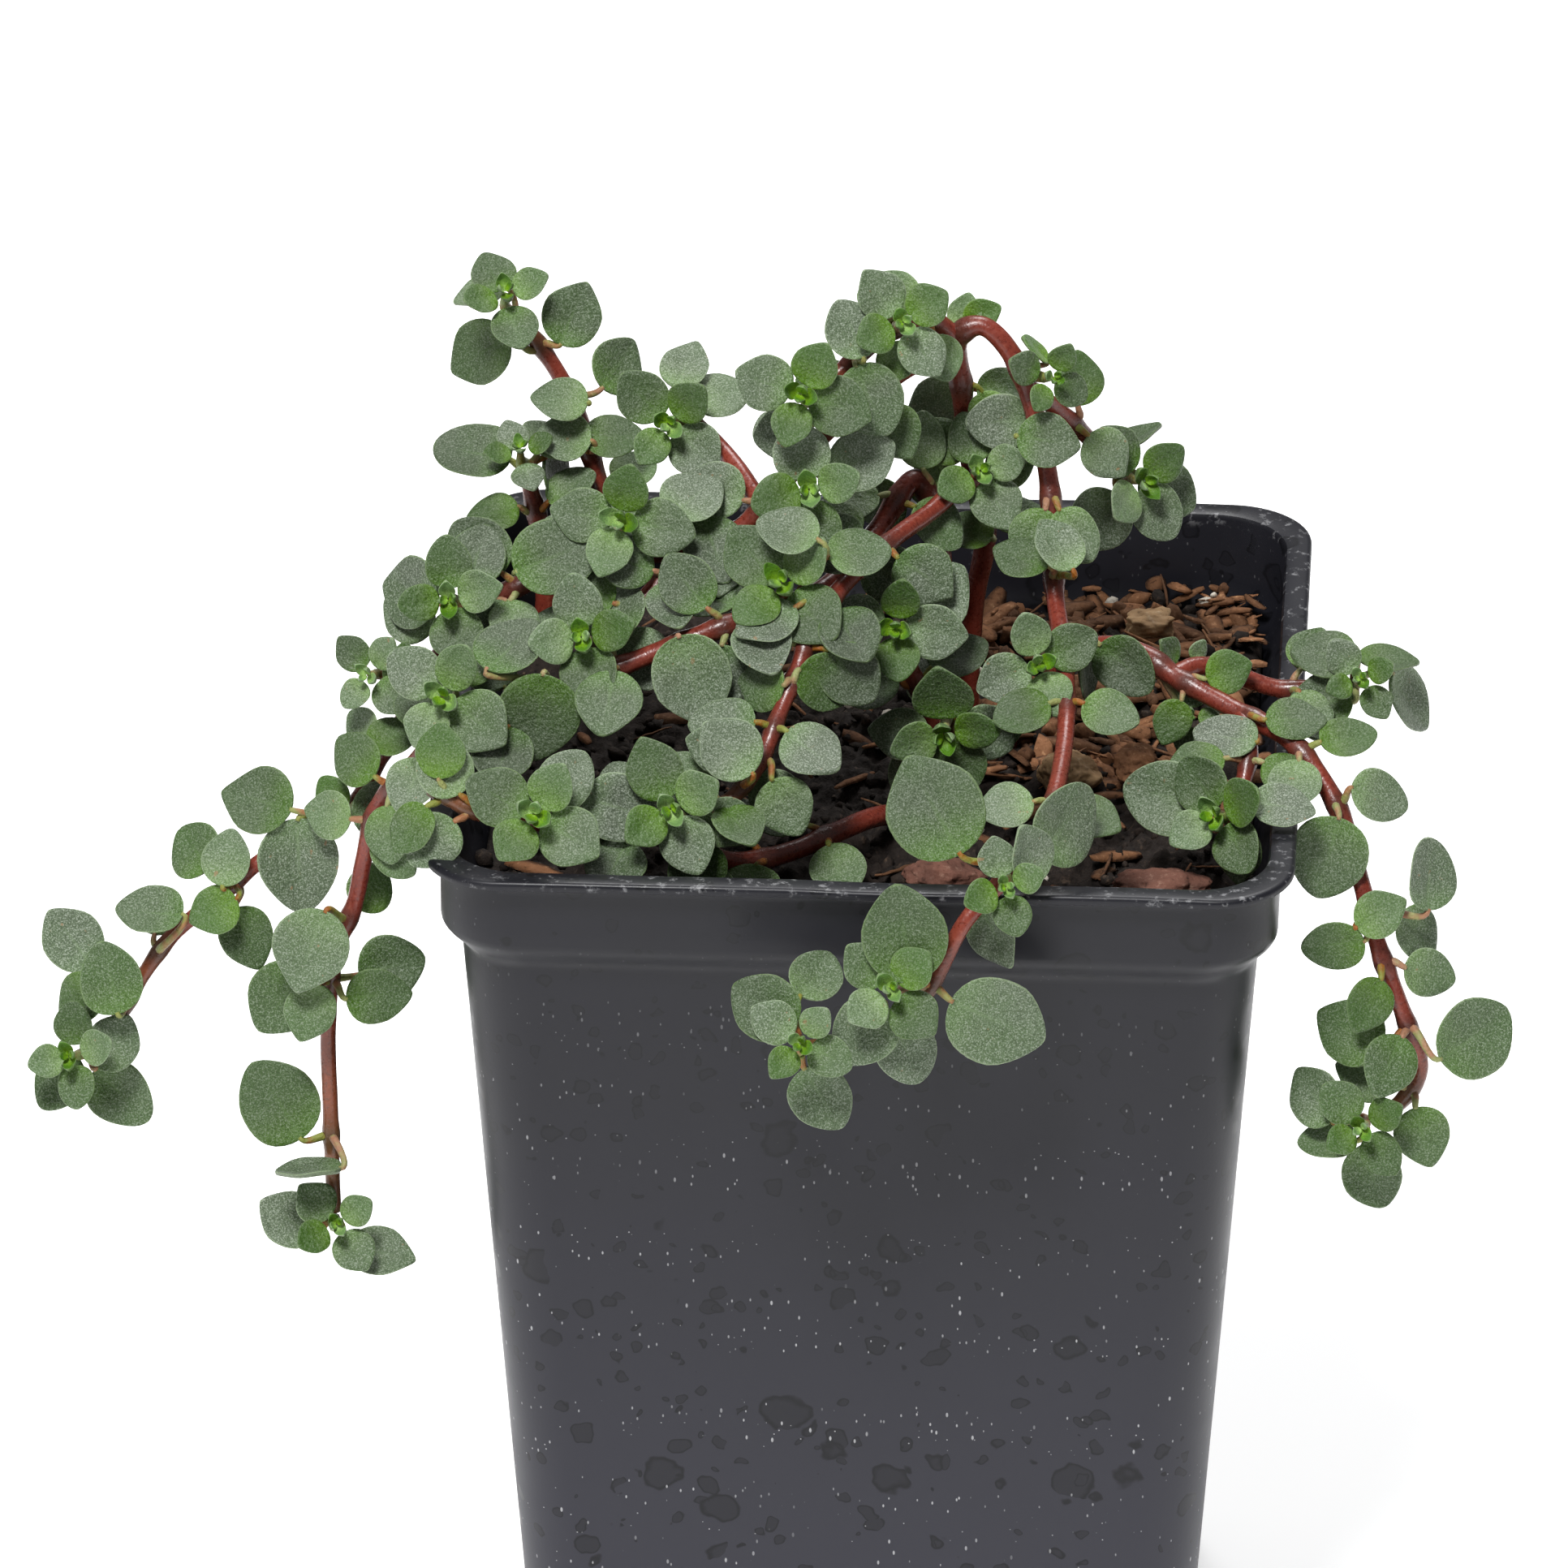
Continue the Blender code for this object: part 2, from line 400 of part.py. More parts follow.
def build_pot():
    outside = [square_ring(half, corner_at(half), z) for z, half in pot_wall_profile()]
    inside = []
    for z in (POT_HEIGHT, POT_HEIGHT - 0.6, POT_HEIGHT - COLLAR_HEIGHT, BODY_TOP, FLOOR):
        half = inner_half(z) + (0.5 if z == POT_HEIGHT else 0)
        inside.append(square_ring(half, corner_at(half), z))
    bm = bmesh.new()
    rings = loft(bm, outside + inside)
    bm.faces.new(list(reversed(rings[0])))
    bm.faces.new(rings[-1])
    pot = new_object("pot", bm, material("black plastic", (0.045, 0.045, 0.05), 0.35), smooth=False)
    pot.data.shade_smooth()
    pot.data.set_sharp_from_angle(angle=math.radians(35))
    at = BASE_WIDTH / 2 - DRAIN_INSET
    for sx in (-1, 1):
        for sy in (-1, 1):
            drain = bmesh.new()
            bmesh.ops.create_cone(drain, cap_ends=True, segments=12, radius1=DRAIN_RADIUS, radius2=DRAIN_RADIUS,
                                  depth=4 * FLOOR, matrix=Matrix.Translation((sx * at, sy * at, 0)))
            cutter = new_object(f"drain_cutter_{sx}_{sy}", drain, pot.data.materials[0])
            cutter.hide_render = True
            cutter.display_type = "WIRE"
            cut = pot.modifiers.new(cutter.name, "BOOLEAN")
            cut.operation = "DIFFERENCE"
            cut.solver = "EXACT"
            cut.object = cutter
    return pot


def soil_height(x, y):
    """The soil's uneven surface, higher at the back right."""
    inside = inner_half(POT_HEIGHT)
    across = x / inside
    back = y / inside
    swell = 0.5 * math.sin(5.1 * across + 1.3) * math.cos(4.3 * back) + 0.35 * math.sin(9.7 * back + 4.1 * across)
    return POT_HEIGHT - SOIL_DROP + swell + 1.1 * max(0.0, across) * max(0.0, back + 0.3)


def build_soil():
    edge = POT_HEIGHT - SOIL_DROP - 1.2
    bottom = FLOOR + GAP
    bm = bmesh.new()
    low = square_ring(inner_half(bottom) - GAP, corner_at(inner_half(bottom)), bottom)
    waist_z = min(BODY_TOP, edge - 1)
    waist = square_ring(inner_half(waist_z) - GAP, corner_at(inner_half(waist_z)), waist_z)
    half = inner_half(edge) - GAP
    rings = [low, waist, square_ring(half, corner_at(half), edge)]
    for share in (0.93, 0.72, 0.45, 0.2):
        ring = square_ring(half * share, corner_at(half) * share, 0)
        rings.append([Vector((p.x, p.y, soil_height(p.x, p.y))) for p in ring])
    made = loft(bm, rings)
    bm.faces.new(list(reversed(made[0])))
    top = bm.verts.new((0, 0, soil_height(0, 0)))
    last = made[-1]
    for i in range(len(last)):
        bm.faces.new((last[i], last[(i + 1) % len(last)], top))
    return new_object("soil", bm, material("peat soil", (0.03, 0.02, 0.015), 0.95))


def ground(soil, x, y):
    """The height of the soil's finished surface under a place, all in millimetres."""
    start = Vector((x * MM, y * MM, 2 * POT_HEIGHT * MM))
    hit, place, _, _ = soil.ray_cast(start, Vector((0, 0, -1)))
    return place.z / MM if hit else soil_height(x, y)


def build_stone(name, spec, soil):
    """A rough pebble lying just clear of the highest soil under it."""
    x, y, length, width, height, turn = spec
    bm = bmesh.new()
    bmesh.ops.create_icosphere(bm, subdivisions=2, radius=0.5)
    for vert in bm.verts:
        p = vert.co
        rough = 1 + 0.12 * math.sin(9 * p.x + 5 * x) * math.cos(8 * p.y + 3 * y) + 0.08 * math.sin(11 * p.z + y)
        vert.co = Vector((p.x * length * rough, p.y * width * rough, max(p.z * height * rough, -0.36 * height)))
    place = Matrix.Translation((x * SPREAD, y * SPREAD, 0)) @ Matrix.Rotation(math.radians(turn), 4, "Z")
    bmesh.ops.transform(bm, matrix=place, verts=bm.verts)
    lift = GAP + max(ground(soil, vert.co.x, vert.co.y) - vert.co.z for vert in bm.verts if vert.co.z < 0)
    bmesh.ops.translate(bm, vec=(0, 0, lift), verts=bm.verts)
    colour = (0.16, 0.07, 0.05) if "lava" in name else (0.4, 0.24, 0.12)
    return new_object(name, bm, material(name.replace("_", " "), colour, 0.9))


def stem_foot(soil, x, y):
    """A stem's lowest point, clear of the soil round its foot."""
    around = [(x + dx * STEM_RADIUS, y + dy * STEM_RADIUS) for dx in (-1, 0, 1) for dy in (-1, 0, 1)]
    return max(ground(soil, *spot) for spot in around) + GAP + STEM_RADIUS / 2


def placed(route, soil):
    """A route's points in the object's frame, from its millimetres across, back and above the rim."""
    points = []
    for x, y, z in route:
        x *= SPREAD
        y *= SPREAD
        z = stem_foot(soil, x, y) if z is None else POT_HEIGHT + z
        points.append(Vector((x, y, z)))
    return points


def route_point(points, at):
    """A place on the smooth curve through the points, counted in points."""
    i = min(int(at), len(points) - 2)
    t = at - i
    b, c = points[i], points[i + 1]
    a = points[i - 1] if i else b * 2 - c
    d = points[i + 2] if i + 2 < len(points) else c * 2 - b
    return 0.5 * (2 * b + (c - a) * t + (2 * a - 5 * b + 4 * c - d) * t**2 + (3 * b - a - 3 * c + d) * t**3)


def route_direction(points, at):
    low = max(0.0, at - 0.05)
    high = min(len(points) - 1.0, at + 0.05)
    return (route_point(points, high) - route_point(points, low)).normalized()


def stem_radius(share):
    """Stems thin gently towards the tip."""
    return STEM_RADIUS + (TIP_RADIUS - STEM_RADIUS) * share**1.5


def frame_across(direction, before=None):
    """Two unit directions across a stem, turned as little as can be from the last ones."""
    side = before if before else (Vector((0, 0, 1)) if abs(direction.z) < 0.8 else Vector((1, 0, 0)))
    side = (side - direction * side.dot(direction)).normalized()
    return side, direction.cross(side)


def tube(points, thin=1.0):
    """A closed tapering tube along a route."""
    length = sum((b - a).length for a, b in zip(points, points[1:]))
    count = max(4, round(length / STEM_STEP))
    bm = bmesh.new()
    rings = []
    side = None
    for step in range(count + 1):
        at = (len(points) - 1) * step / count
        direction = route_direction(points, at)
        side, other = frame_across(direction, side)
        centre = route_point(points, at)
        radius = stem_radius(step / count) * thin
        angles = [2 * math.pi * k / STEM_SIDES for k in range(STEM_SIDES)]
        rings.append([centre + radius * (side * math.cos(a) + other * math.sin(a)) for a in angles])
    made = loft(bm, rings)
    bm.faces.new(list(reversed(made[0])))
    bm.faces.new(made[-1])
    return bm


def build_stems(routes):
    """Each rooted stem with its side shoots joined to it."""
    bark = material("red stem", (0.22, 0.06, 0.045), 0.45)
    stems = {}
    for name in STEMS:
        stem = new_object(f"stem_{name}", tube(routes[name]), bark)
        for branch, (parent, _) in BRANCHES.items():
            if parent != name:
                continue
            shoot = new_object(f"shoot_{branch}", tube(routes[branch], thin=BRANCH_THINNING), bark)
            shoot.hide_render = True
            shoot.display_type = "WIRE"
            join = stem.modifiers.new(branch, "BOOLEAN")
            join.operation = "UNION"
            join.solver = "EXACT"
            join.object = shoot
        stems[name] = stem
    return stems


def tree_of(obj):
    """The object's finished surface in millimetres, for telling what touches it."""
    graph = bpy.context.evaluated_depsgraph_get()
    mesh = obj.evaluated_get(graph).to_mesh()
    points = [v.co / MM for v in mesh.vertices]
    faces = [tuple(p.vertices) for p in mesh.polygons]
    return boxed(BVHTree.FromPolygons(points, faces), points)


def boxed(tree, points):
    low = Vector([min(p[i] for p in points) for i in range(3)])
    high = Vector([max(p[i] for p in points) for i in range(3)])
    return tree, low, high


def meet(first, second):
    a, a_low, a_high = first
    b, b_low, b_high = second
    if any(a_low[i] > b_high[i] or b_low[i] > a_high[i] for i in range(3)):
        return False
    return bool(a.overlap(b))


def cross_section(centre, side, facing, half_width, above, below):
    """Four corners across a leaf or a stalk: margin, upper face, margin, lower face."""
    return [centre - side * half_width, centre + facing * above, centre + side * half_width, centre - facing * below]


def extend(bm, ring, points):
    """Skins one step from four vertices to four points, both running the same way round, with the least twist."""
    orders = [[points[(k + start) % 4] for k in range(4)] for start in range(4)]
    best = min(orders, key=lambda order: sum((v.co - p).length for v, p in zip(ring, order)))
    fresh = [bm.verts.new(point) for point in best]
    for i in range(4):
        j = (i + 1) % 4
        bm.faces.new((ring[i], ring[j], fresh[j], fresh[i]))
    return fresh


def grow_blade(bm, ring, base, tip, facing, length, swell):
    """A blade from its base: a round, slightly cupped disc that droops a little at its tip."""
    side = tip.cross(facing)
    width = BLADE_HALF_WIDTH * length
    half = LEAF_THICKNESS / 2 + swell
    for along, share in BLADE:
        share_bowl = share if along else 0
        centre = base + tip * along * length - facing * BLADE_DROOP * length * along**2
        sink = BLADE_CUP * length * share_bowl
        section = cross_section(centre, side, facing, share * width + swell, half - sink, half + sink)
        ring = extend(bm, ring, section)
    end = bm.verts.new(base + tip * (length + swell) - facing * BLADE_DROOP * length)
    for i in range(4):
        bm.faces.new((ring[i], ring[(i + 1) % 4], end))


def leaf_frame(leaf):
    facing = Vector(leaf.facing).normalized()
    tip = Vector(leaf.tip)
    tip = (tip - facing * tip.dot(facing)).normalized()
    return tip, facing


def grow_leaf(bm, ring, node, leaf, swell):
    tip, facing = leaf_frame(leaf)
    length = leaf.length * LEAF_SCALE
    base = node + Vector(leaf.reach) - tip * length / 2
    grow_blade(bm, ring, base, tip, facing, length, swell)


def grow_rosette(bm, ring, node, rosette, swell):
    """A short stalk that carries pairs of leaves at right angles, closed by a bud."""
    axis = Vector(rosette.facing).normalized()
    across, other = frame_across(axis, Vector((0, 0, 1)))
    turn = math.radians(rosette.turn)
    first = across * math.cos(turn) + other * math.sin(turn)
    second = axis.cross(first)
    size = rosette.size * LEAF_SCALE
    centre = node + Vector(rosette.reach)
    hub = ROSETTE_HUB + swell
    corners = [first + second, second - first, -first - second, first - second]
    ring = extend(bm, ring, [centre - axis * ROSETTE_LEVEL + corner * hub * 0.8 for corner in corners])
    ring = extend(bm, ring, [centre + corner * hub for corner in corners])
    faces_before = set(bm.faces)
    for level, (share, rise) in enumerate(ROSETTE_PAIRS):
        top = centre + axis * ROSETTE_LEVEL * (level + 1)
        upper = extend(bm, ring, [top + corner * hub for corner in corners])
        outward = first if level % 2 == 0 else second
        walls = [face for face in bm.faces if face not in faces_before]
        angle = math.radians(rise)
        for sign in (1, -1):
            wall = max(walls, key=lambda face: (face.calc_center_median() - top).dot(outward * sign))
            port = list(wall.verts)
            middle = wall.calc_center_median()
            bm.faces.remove(wall)
            walls.remove(wall)
            tip = (outward * sign * math.cos(angle) + axis * math.sin(angle)).normalized()
            facing = (axis * math.cos(angle) - outward * sign * math.sin(angle)).normalized()
            grow_blade(bm, port, middle + tip * 0.35, tip, facing, size * share, swell)
        ring = upper
        faces_before = set(bm.faces)
    bud = bm.verts.new(centre + axis * (ROSETTE_LEVEL * (len(ROSETTE_PAIRS) + 0.8) + swell))
    for i in range(4):
        bm.faces.new((ring[i], ring[(i + 1) % 4], bud))


def grow(bm, ring, node, item, swell=0.0):
    if isinstance(item, Leaf):
        grow_leaf(bm, ring, node, item, swell)
    else:
        grow_rosette(bm, ring, node, item, swell)


def whorl_collar(bm, node, direction, radius, at_tip):
    """The leaf stalks' common sheath: a ring round the stem, or a cap past its tip. Returns its open ports."""
    side, other = frame_across(direction)
    inner = radius + GAP
    outer = inner + COLLAR_WALL
    if at_tip:
        node = node + direction * (GAP + COLLAR_LENGTH / 2)
    angles = [2 * math.pi * k / COLLAR_SIDES for k in range(COLLAR_SIDES)]
    spokes = [side * math.cos(a) + other * math.sin(a) for a in angles]
    rise = direction * COLLAR_LENGTH / 2
    low = [bm.verts.new(node + spoke * outer - rise) for spoke in spokes]
    high = [bm.verts.new(node + spoke * outer + rise) for spoke in spokes]
    ports = []
    if at_tip:
        bm.faces.new(list(reversed(low)))
        top = bm.verts.new(node + rise * 1.8)
        for i in range(COLLAR_SIDES):
            bm.faces.new((high[i], high[(i + 1) % COLLAR_SIDES], top))
    else:
        widen = inner / math.cos(math.pi / COLLAR_SIDES)
        for k in range(COLLAR_SIDES):
            low[k].co = node + spokes[k] * (widen + COLLAR_WALL) - rise
            high[k].co = node + spokes[k] * (widen + COLLAR_WALL) + rise
        in_low = [bm.verts.new(node + spoke * widen - rise) for spoke in spokes]
        in_high = [bm.verts.new(node + spoke * widen + rise) for spoke in spokes]
        for i in range(COLLAR_SIDES):
            j = (i + 1) % COLLAR_SIDES
            bm.faces.new((in_low[i], in_low[j], low[j], low[i]))
            bm.faces.new((high[i], high[j], in_high[j], in_high[i]))
            bm.faces.new((in_high[i], in_high[j], in_low[j], in_low[i]))
    for i in range(COLLAR_SIDES):
        j = (i + 1) % COLLAR_SIDES
        ports.append([low[i], low[j], high[j], high[i]])
    return node, ports


def port_centre(port):
    return sum((vert.co for vert in port), Vector()) / 4


def reach_base(item, node):
    """Where an item's stalk has to arrive."""
    if isinstance(item, Rosette):
        return node + Vector(item.reach)
    tip, _ = leaf_frame(item)
    return node + Vector(item.reach) - tip * item.length * LEAF_SCALE / 2


def swings():
    """Small swings of a stalk, spins of its blade, and pushes out along the way it faces, the smallest first."""
    angles = (0, 8, -8, 16, -16, 26, -26, 38, -38)
    found = []
    steps = [(stretch, push) for stretch in (1.0, 1.12, 1.25, 0.9, 1.4) for push in (0, 0.5, 1.0, 1.6)]
    for stretch, push in steps:
        for about in angles:
            for over in angles:
                for spin in (0, 15, -15, 35, -35):
                    cost = abs(about) + abs(over) + 0.6 * abs(spin) + 90 * abs(stretch - 1) + 30 * push
                    found.append((cost, about, over, spin, stretch, push))
    found.sort(key=lambda entry: entry[0])
    return [entry[1:] for entry in found if entry[0] < 110]


SWINGS = swings()


def swung(item, direction, swing):
    """The item swung about its node and spun in its own plane, its reach made longer or shorter."""
    about, over, spin, stretch, push = swing
    across, _ = frame_across(direction)
    matrix = Matrix.Rotation(math.radians(about), 3, direction) @ Matrix.Rotation(math.radians(over), 3, across)
    facing = matrix @ Vector(item.facing)
    reach = matrix @ Vector(item.reach) * stretch + facing.normalized() * push
    if isinstance(item, Rosette):
        return item._replace(reach=reach, facing=facing, turn=item.turn + spin)
    tip = Matrix.Rotation(math.radians(spin), 3, facing) @ matrix @ Vector(item.tip)
    return item._replace(reach=reach, facing=facing, tip=tip)


def surface_of(port, node, item, swell):
    """The item's own surface from its stalk's port, grown out on all sides, for telling what it would touch."""
    bm = bmesh.new()
    ring = [bm.verts.new(vert.co) for vert in port]
    grow(bm, ring, node, item, swell)
    points = [vert.co.copy() for vert in bm.verts]
    tree = BVHTree.FromBMesh(bm)
    bm.free()
    return boxed(tree, points)


def crosses_itself(bm, port, node, item):
    """Whether the whorl would cut through itself once the item has grown from its port."""
    bm.verts.index_update()
    there = len(bm.verts)
    grown = bm.copy()
    grown.verts.ensure_lookup_table()
    grow(grown, [grown.verts[vert.index] for vert in port], node, item)
    bmesh.ops.triangulate(grown, faces=grown.faces)
    grown.faces.ensure_lookup_table()
    grown.verts.index_update()
    corners = [{vert.index for vert in face.verts} for face in grown.faces]
    fresh = [max(face) >= there for face in corners]
    tree = BVHTree.FromBMesh(grown)
    crossing = any(fresh[a] and not corners[a] & corners[b] for a, b in tree.overlap(tree))
    grown.free()
    return crossing


def find_room(bm, item, ports, node, direction, neighbours, own):
    """The smallest swing, and the nearest free port, that keep the item off all that is there already."""
    base = reach_base(item, node) - node
    ranked = sorted(ports, key=lambda port: -(port_centre(port) - node).normalized().dot(base.normalized()))
    clear = None
    for swing in SWINGS:
        for port in ranked[:2]:
            tried = swung(item, direction, swing)
            wide = surface_of(port, node, tried, GAP)
            if any(meet(wide, other) for other in neighbours):
                continue
            near = surface_of(port, node, tried, GAP / 2)
            if any(meet(near, other) for other in own):
                continue
            if not crosses_itself(bm, port, node, tried):
                return tried, port
            clear = clear or (tried, port)
    if clear is None:
        print("crowded:", item)
    else:
        print("folded:", item)
    return clear or (item, ranked[0])


def set_collar(bm, route, at, routes, neighbours):
    """The sheath at the nearest place on the stem where it touches nothing, with its place and open ports."""
    points = routes[route]
    last = len(points) - 1
    thin = BRANCH_THINNING if route in BRANCHES else 1.0
    for slide in (0, 0.08, -0.08, 0.16, -0.16, 0.25, -0.25, 0.35, -0.35, 0.5, -0.5):
        here = last if at >= last else min(max(at + slide, 0.3), last - 0.2)
        direction = route_direction(points, here)
        radius = stem_radius(here / last) * thin
        node, ports = whorl_collar(bm, route_point(points, here), direction, radius, here == last)
        shape = boxed(BVHTree.FromBMesh(bm), [vert.co.copy() for vert in bm.verts])
        if not any(meet(shape, other) for other in neighbours) or at >= last:
            break
        bm.clear()
    return node, direction, ports


def build_whorl(name, spec, routes, neighbours, mat):
    route, at, items = spec
    bm = bmesh.new()
    node, direction, ports = set_collar(bm, route, at, routes, neighbours)
    own = []
    for item in sorted(items, key=lambda grown: isinstance(grown, Leaf)):
        chosen, port = find_room(bm, item, ports, node, direction, neighbours, own)
        ports.remove(port)
        own.append(surface_of(port, node, chosen, 0.0))
        grow(bm, port, node, chosen)
    for port in ports:
        bm.faces.new(port)
    corners = [vert.co.copy() for vert in bm.verts]
    neighbours.append(boxed(BVHTree.FromBMesh(bm), corners))
    return new_object(f"leaves_{name}", bm, mat)


def main():
    clear_scene()
    pot = build_pot()
    soil = build_soil()
    routes = {name: placed(route, soil) for name, route in STEMS.items()}
    routes.update({name: placed(route, soil) for name, (_, route) in BRANCHES.items()})
    stones = [build_stone(name, spec, soil) for name, spec in STONES.items()]
    stems = build_stems(routes)
    neighbours = [tree_of(obj) for obj in (pot, soil, *stones, *stems.values())]
    leaf = material("silver green leaf", (0.16, 0.22, 0.14), 0.6)
    for name, spec in WHORLS.items():
        build_whorl(name, spec, routes, neighbours, leaf)


main()
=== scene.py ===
"""A trailing pilea in a square plastic nursery pot: its looks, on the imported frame.

Sizes and routes are in millimetres, as the part's own: heights in the lists are above the rim.
"""

import math
import random
from collections import namedtuple

import bmesh
import bpy
from mathutils import Matrix, Vector, noise
from mathutils.bvhtree import BVHTree
from mathutils.kdtree import KDTree


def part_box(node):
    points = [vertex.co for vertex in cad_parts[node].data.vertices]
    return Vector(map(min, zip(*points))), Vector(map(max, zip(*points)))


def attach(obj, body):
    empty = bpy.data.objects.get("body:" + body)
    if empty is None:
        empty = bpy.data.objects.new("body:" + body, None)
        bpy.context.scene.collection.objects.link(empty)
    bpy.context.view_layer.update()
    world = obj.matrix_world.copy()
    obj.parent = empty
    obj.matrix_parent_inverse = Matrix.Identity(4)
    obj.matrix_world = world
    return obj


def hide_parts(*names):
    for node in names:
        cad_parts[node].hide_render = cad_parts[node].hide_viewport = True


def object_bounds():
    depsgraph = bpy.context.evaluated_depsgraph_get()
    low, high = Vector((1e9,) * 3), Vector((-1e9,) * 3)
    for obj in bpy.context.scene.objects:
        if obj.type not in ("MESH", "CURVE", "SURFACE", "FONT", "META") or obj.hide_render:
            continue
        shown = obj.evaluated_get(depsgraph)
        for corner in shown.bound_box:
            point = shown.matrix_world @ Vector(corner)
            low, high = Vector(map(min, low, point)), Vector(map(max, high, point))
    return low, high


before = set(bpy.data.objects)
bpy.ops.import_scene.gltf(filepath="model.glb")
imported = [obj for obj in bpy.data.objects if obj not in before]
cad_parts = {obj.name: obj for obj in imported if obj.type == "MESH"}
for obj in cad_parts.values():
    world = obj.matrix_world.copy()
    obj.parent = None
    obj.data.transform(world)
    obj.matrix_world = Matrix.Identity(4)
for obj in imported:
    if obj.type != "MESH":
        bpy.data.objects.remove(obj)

CAD_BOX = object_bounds()
MM = 0.001

# Pot, in millimetres
RIM_WIDTH = 64.0
BASE_WIDTH = 48.0
POT_HEIGHT = 84.0
CORNER_RADIUS = 6.0
WALL = 0.8
FLOOR = 1.2
LIP_HEIGHT = 0.8
LIP_OVERHANG = 1.2
COLLAR_HEIGHT = 5.8
COLLAR_ROUNDING = 3.0
COLLAR_STEP = 1.5
DRAIN_RADIUS = 2.6
DRAIN_INSET = 8.0

# Soil and plant, in millimetres
SOIL_DROP = 7.2
STEM_RADIUS = 0.78
TIP_RADIUS = 0.55
BRANCH_THINNING = 0.93
COLLAR_WALL = 0.45
COLLAR_LENGTH = 1.1
COLLAR_SIDES = 6
BLADE_HALF_WIDTH = 0.47
BLADE_CUP = 0.07
BLADE_DROOP = 0.1
ROSETTE_LEVEL = 0.75
ROSETTE_HUB = 0.45
GAP = 0.3

RIM_HALF = RIM_WIDTH / 2
COLLAR_HALF = RIM_HALF - LIP_OVERHANG
BODY_HALF = COLLAR_HALF - COLLAR_STEP
BODY_TOP = POT_HEIGHT - COLLAR_HEIGHT - COLLAR_ROUNDING

Leaf = namedtuple("Leaf", "reach tip facing length")
Rosette = namedtuple("Rosette", "reach facing size turn")

# Routes of the stems: across, back and above the rim. The first point of a rooted stem stands on the soil.
STEMS = {
    "arch": [
        (6.5, 8, None), (7, 8, 3), (7.8, 8, 9), (6.6, 8, 15.6), (6, 7, 22), (5.8, 6.2, 26.2),
        (7.7, 6, 27.3), (9.9, 5.5, 25.1), (11.5, 4.5, 21.2), (12.6, 3, 17), (13.1, 1, 13.2),
        (13.4, -2, 9.4), (14.4, -8, 6.4), (14.7, -14, 4.1), (14.2, -22, 3), (13, -29, 2.5),
        (11.1, -32.5, 1.8), (8.2, -35, -0.7), (5.8, -36, -5.4), (3.6, -36.5, -8.1),
        (0.7, -37, -9.6), (-2.9, -37.5, -10.1),
    ],
    "centre": [
        (4.5, 4.5, None), (5, 4.5, 4), (4.2, 4.3, 12), (2.6, 4.2, 15.3), (0, 1, 12.6),
        (-3.3, -5, 11.1), (-7.3, -9, 10.7), (-10.8, -11, 10.5), (-16.2, -12, 8.5),
        (-22.1, -13, 6.3), (-27.5, -14, 4.3), (-31.8, -15, 2.2), (-34.8, -13, -2),
        (-36.6, -12.5, -5), (-37.5, -12.5, -9), (-38.2, -13, -12.5), (-39.7, -14, -16.5),
        (-40.2, -14, -22.7), (-40.1, -14.5, -28), (-40, -15, -31.5), (-39.9, -15, -37.5),
    ],
    "right": [
        (9.6, 5, None), (12.7, 2, -0.9), (15.9, -2, 4.7), (19.6, -5, 6.2), (22.7, -7, 5.1),
        (27.6, -10, 3.8), (31.5, -13, 3), (34.8, -16, -0.5), (36.6, -18, -5.3),
        (38.2, -20, -10.3), (40.1, -21, -15.2), (41.4, -21, -19.5), (40, -21.5, -22.3),
        (38, -22, -23.2),
    ],
    "back_left": [
        (-20.1, 22, None), (-20.7, 22, -1.8), (-21.6, 22, 3.3), (-22.6, 22.5, 7.2),
        (-23.7, 23, 10.7), (-25, 23.5, 13.5), (-26.6, 24, 15.9), (-28.1, 24, 17.8),
    ],
    "back": [(-26, 19, None), (-26, 19, -0.4), (-26.5, 20, 2.8), (-27.1, 20.5, 5.3), (-27.4, 21, 6.4)],
    "low": [
        (2.3, -8, None), (0.1, -13, -4.2), (-5.4, -18, -4.4), (-9.7, -20.5, -4), (-15.3, -22.5, -1),
        (-22, -25, 1.2), (-27.3, -26, 2.3), (-31.4, -26, 4.4),
    ],
    "front": [(5, -3, None), (5, -4, -3), (3.5, -4.5, 2), (2, -5, 6.5)],
}

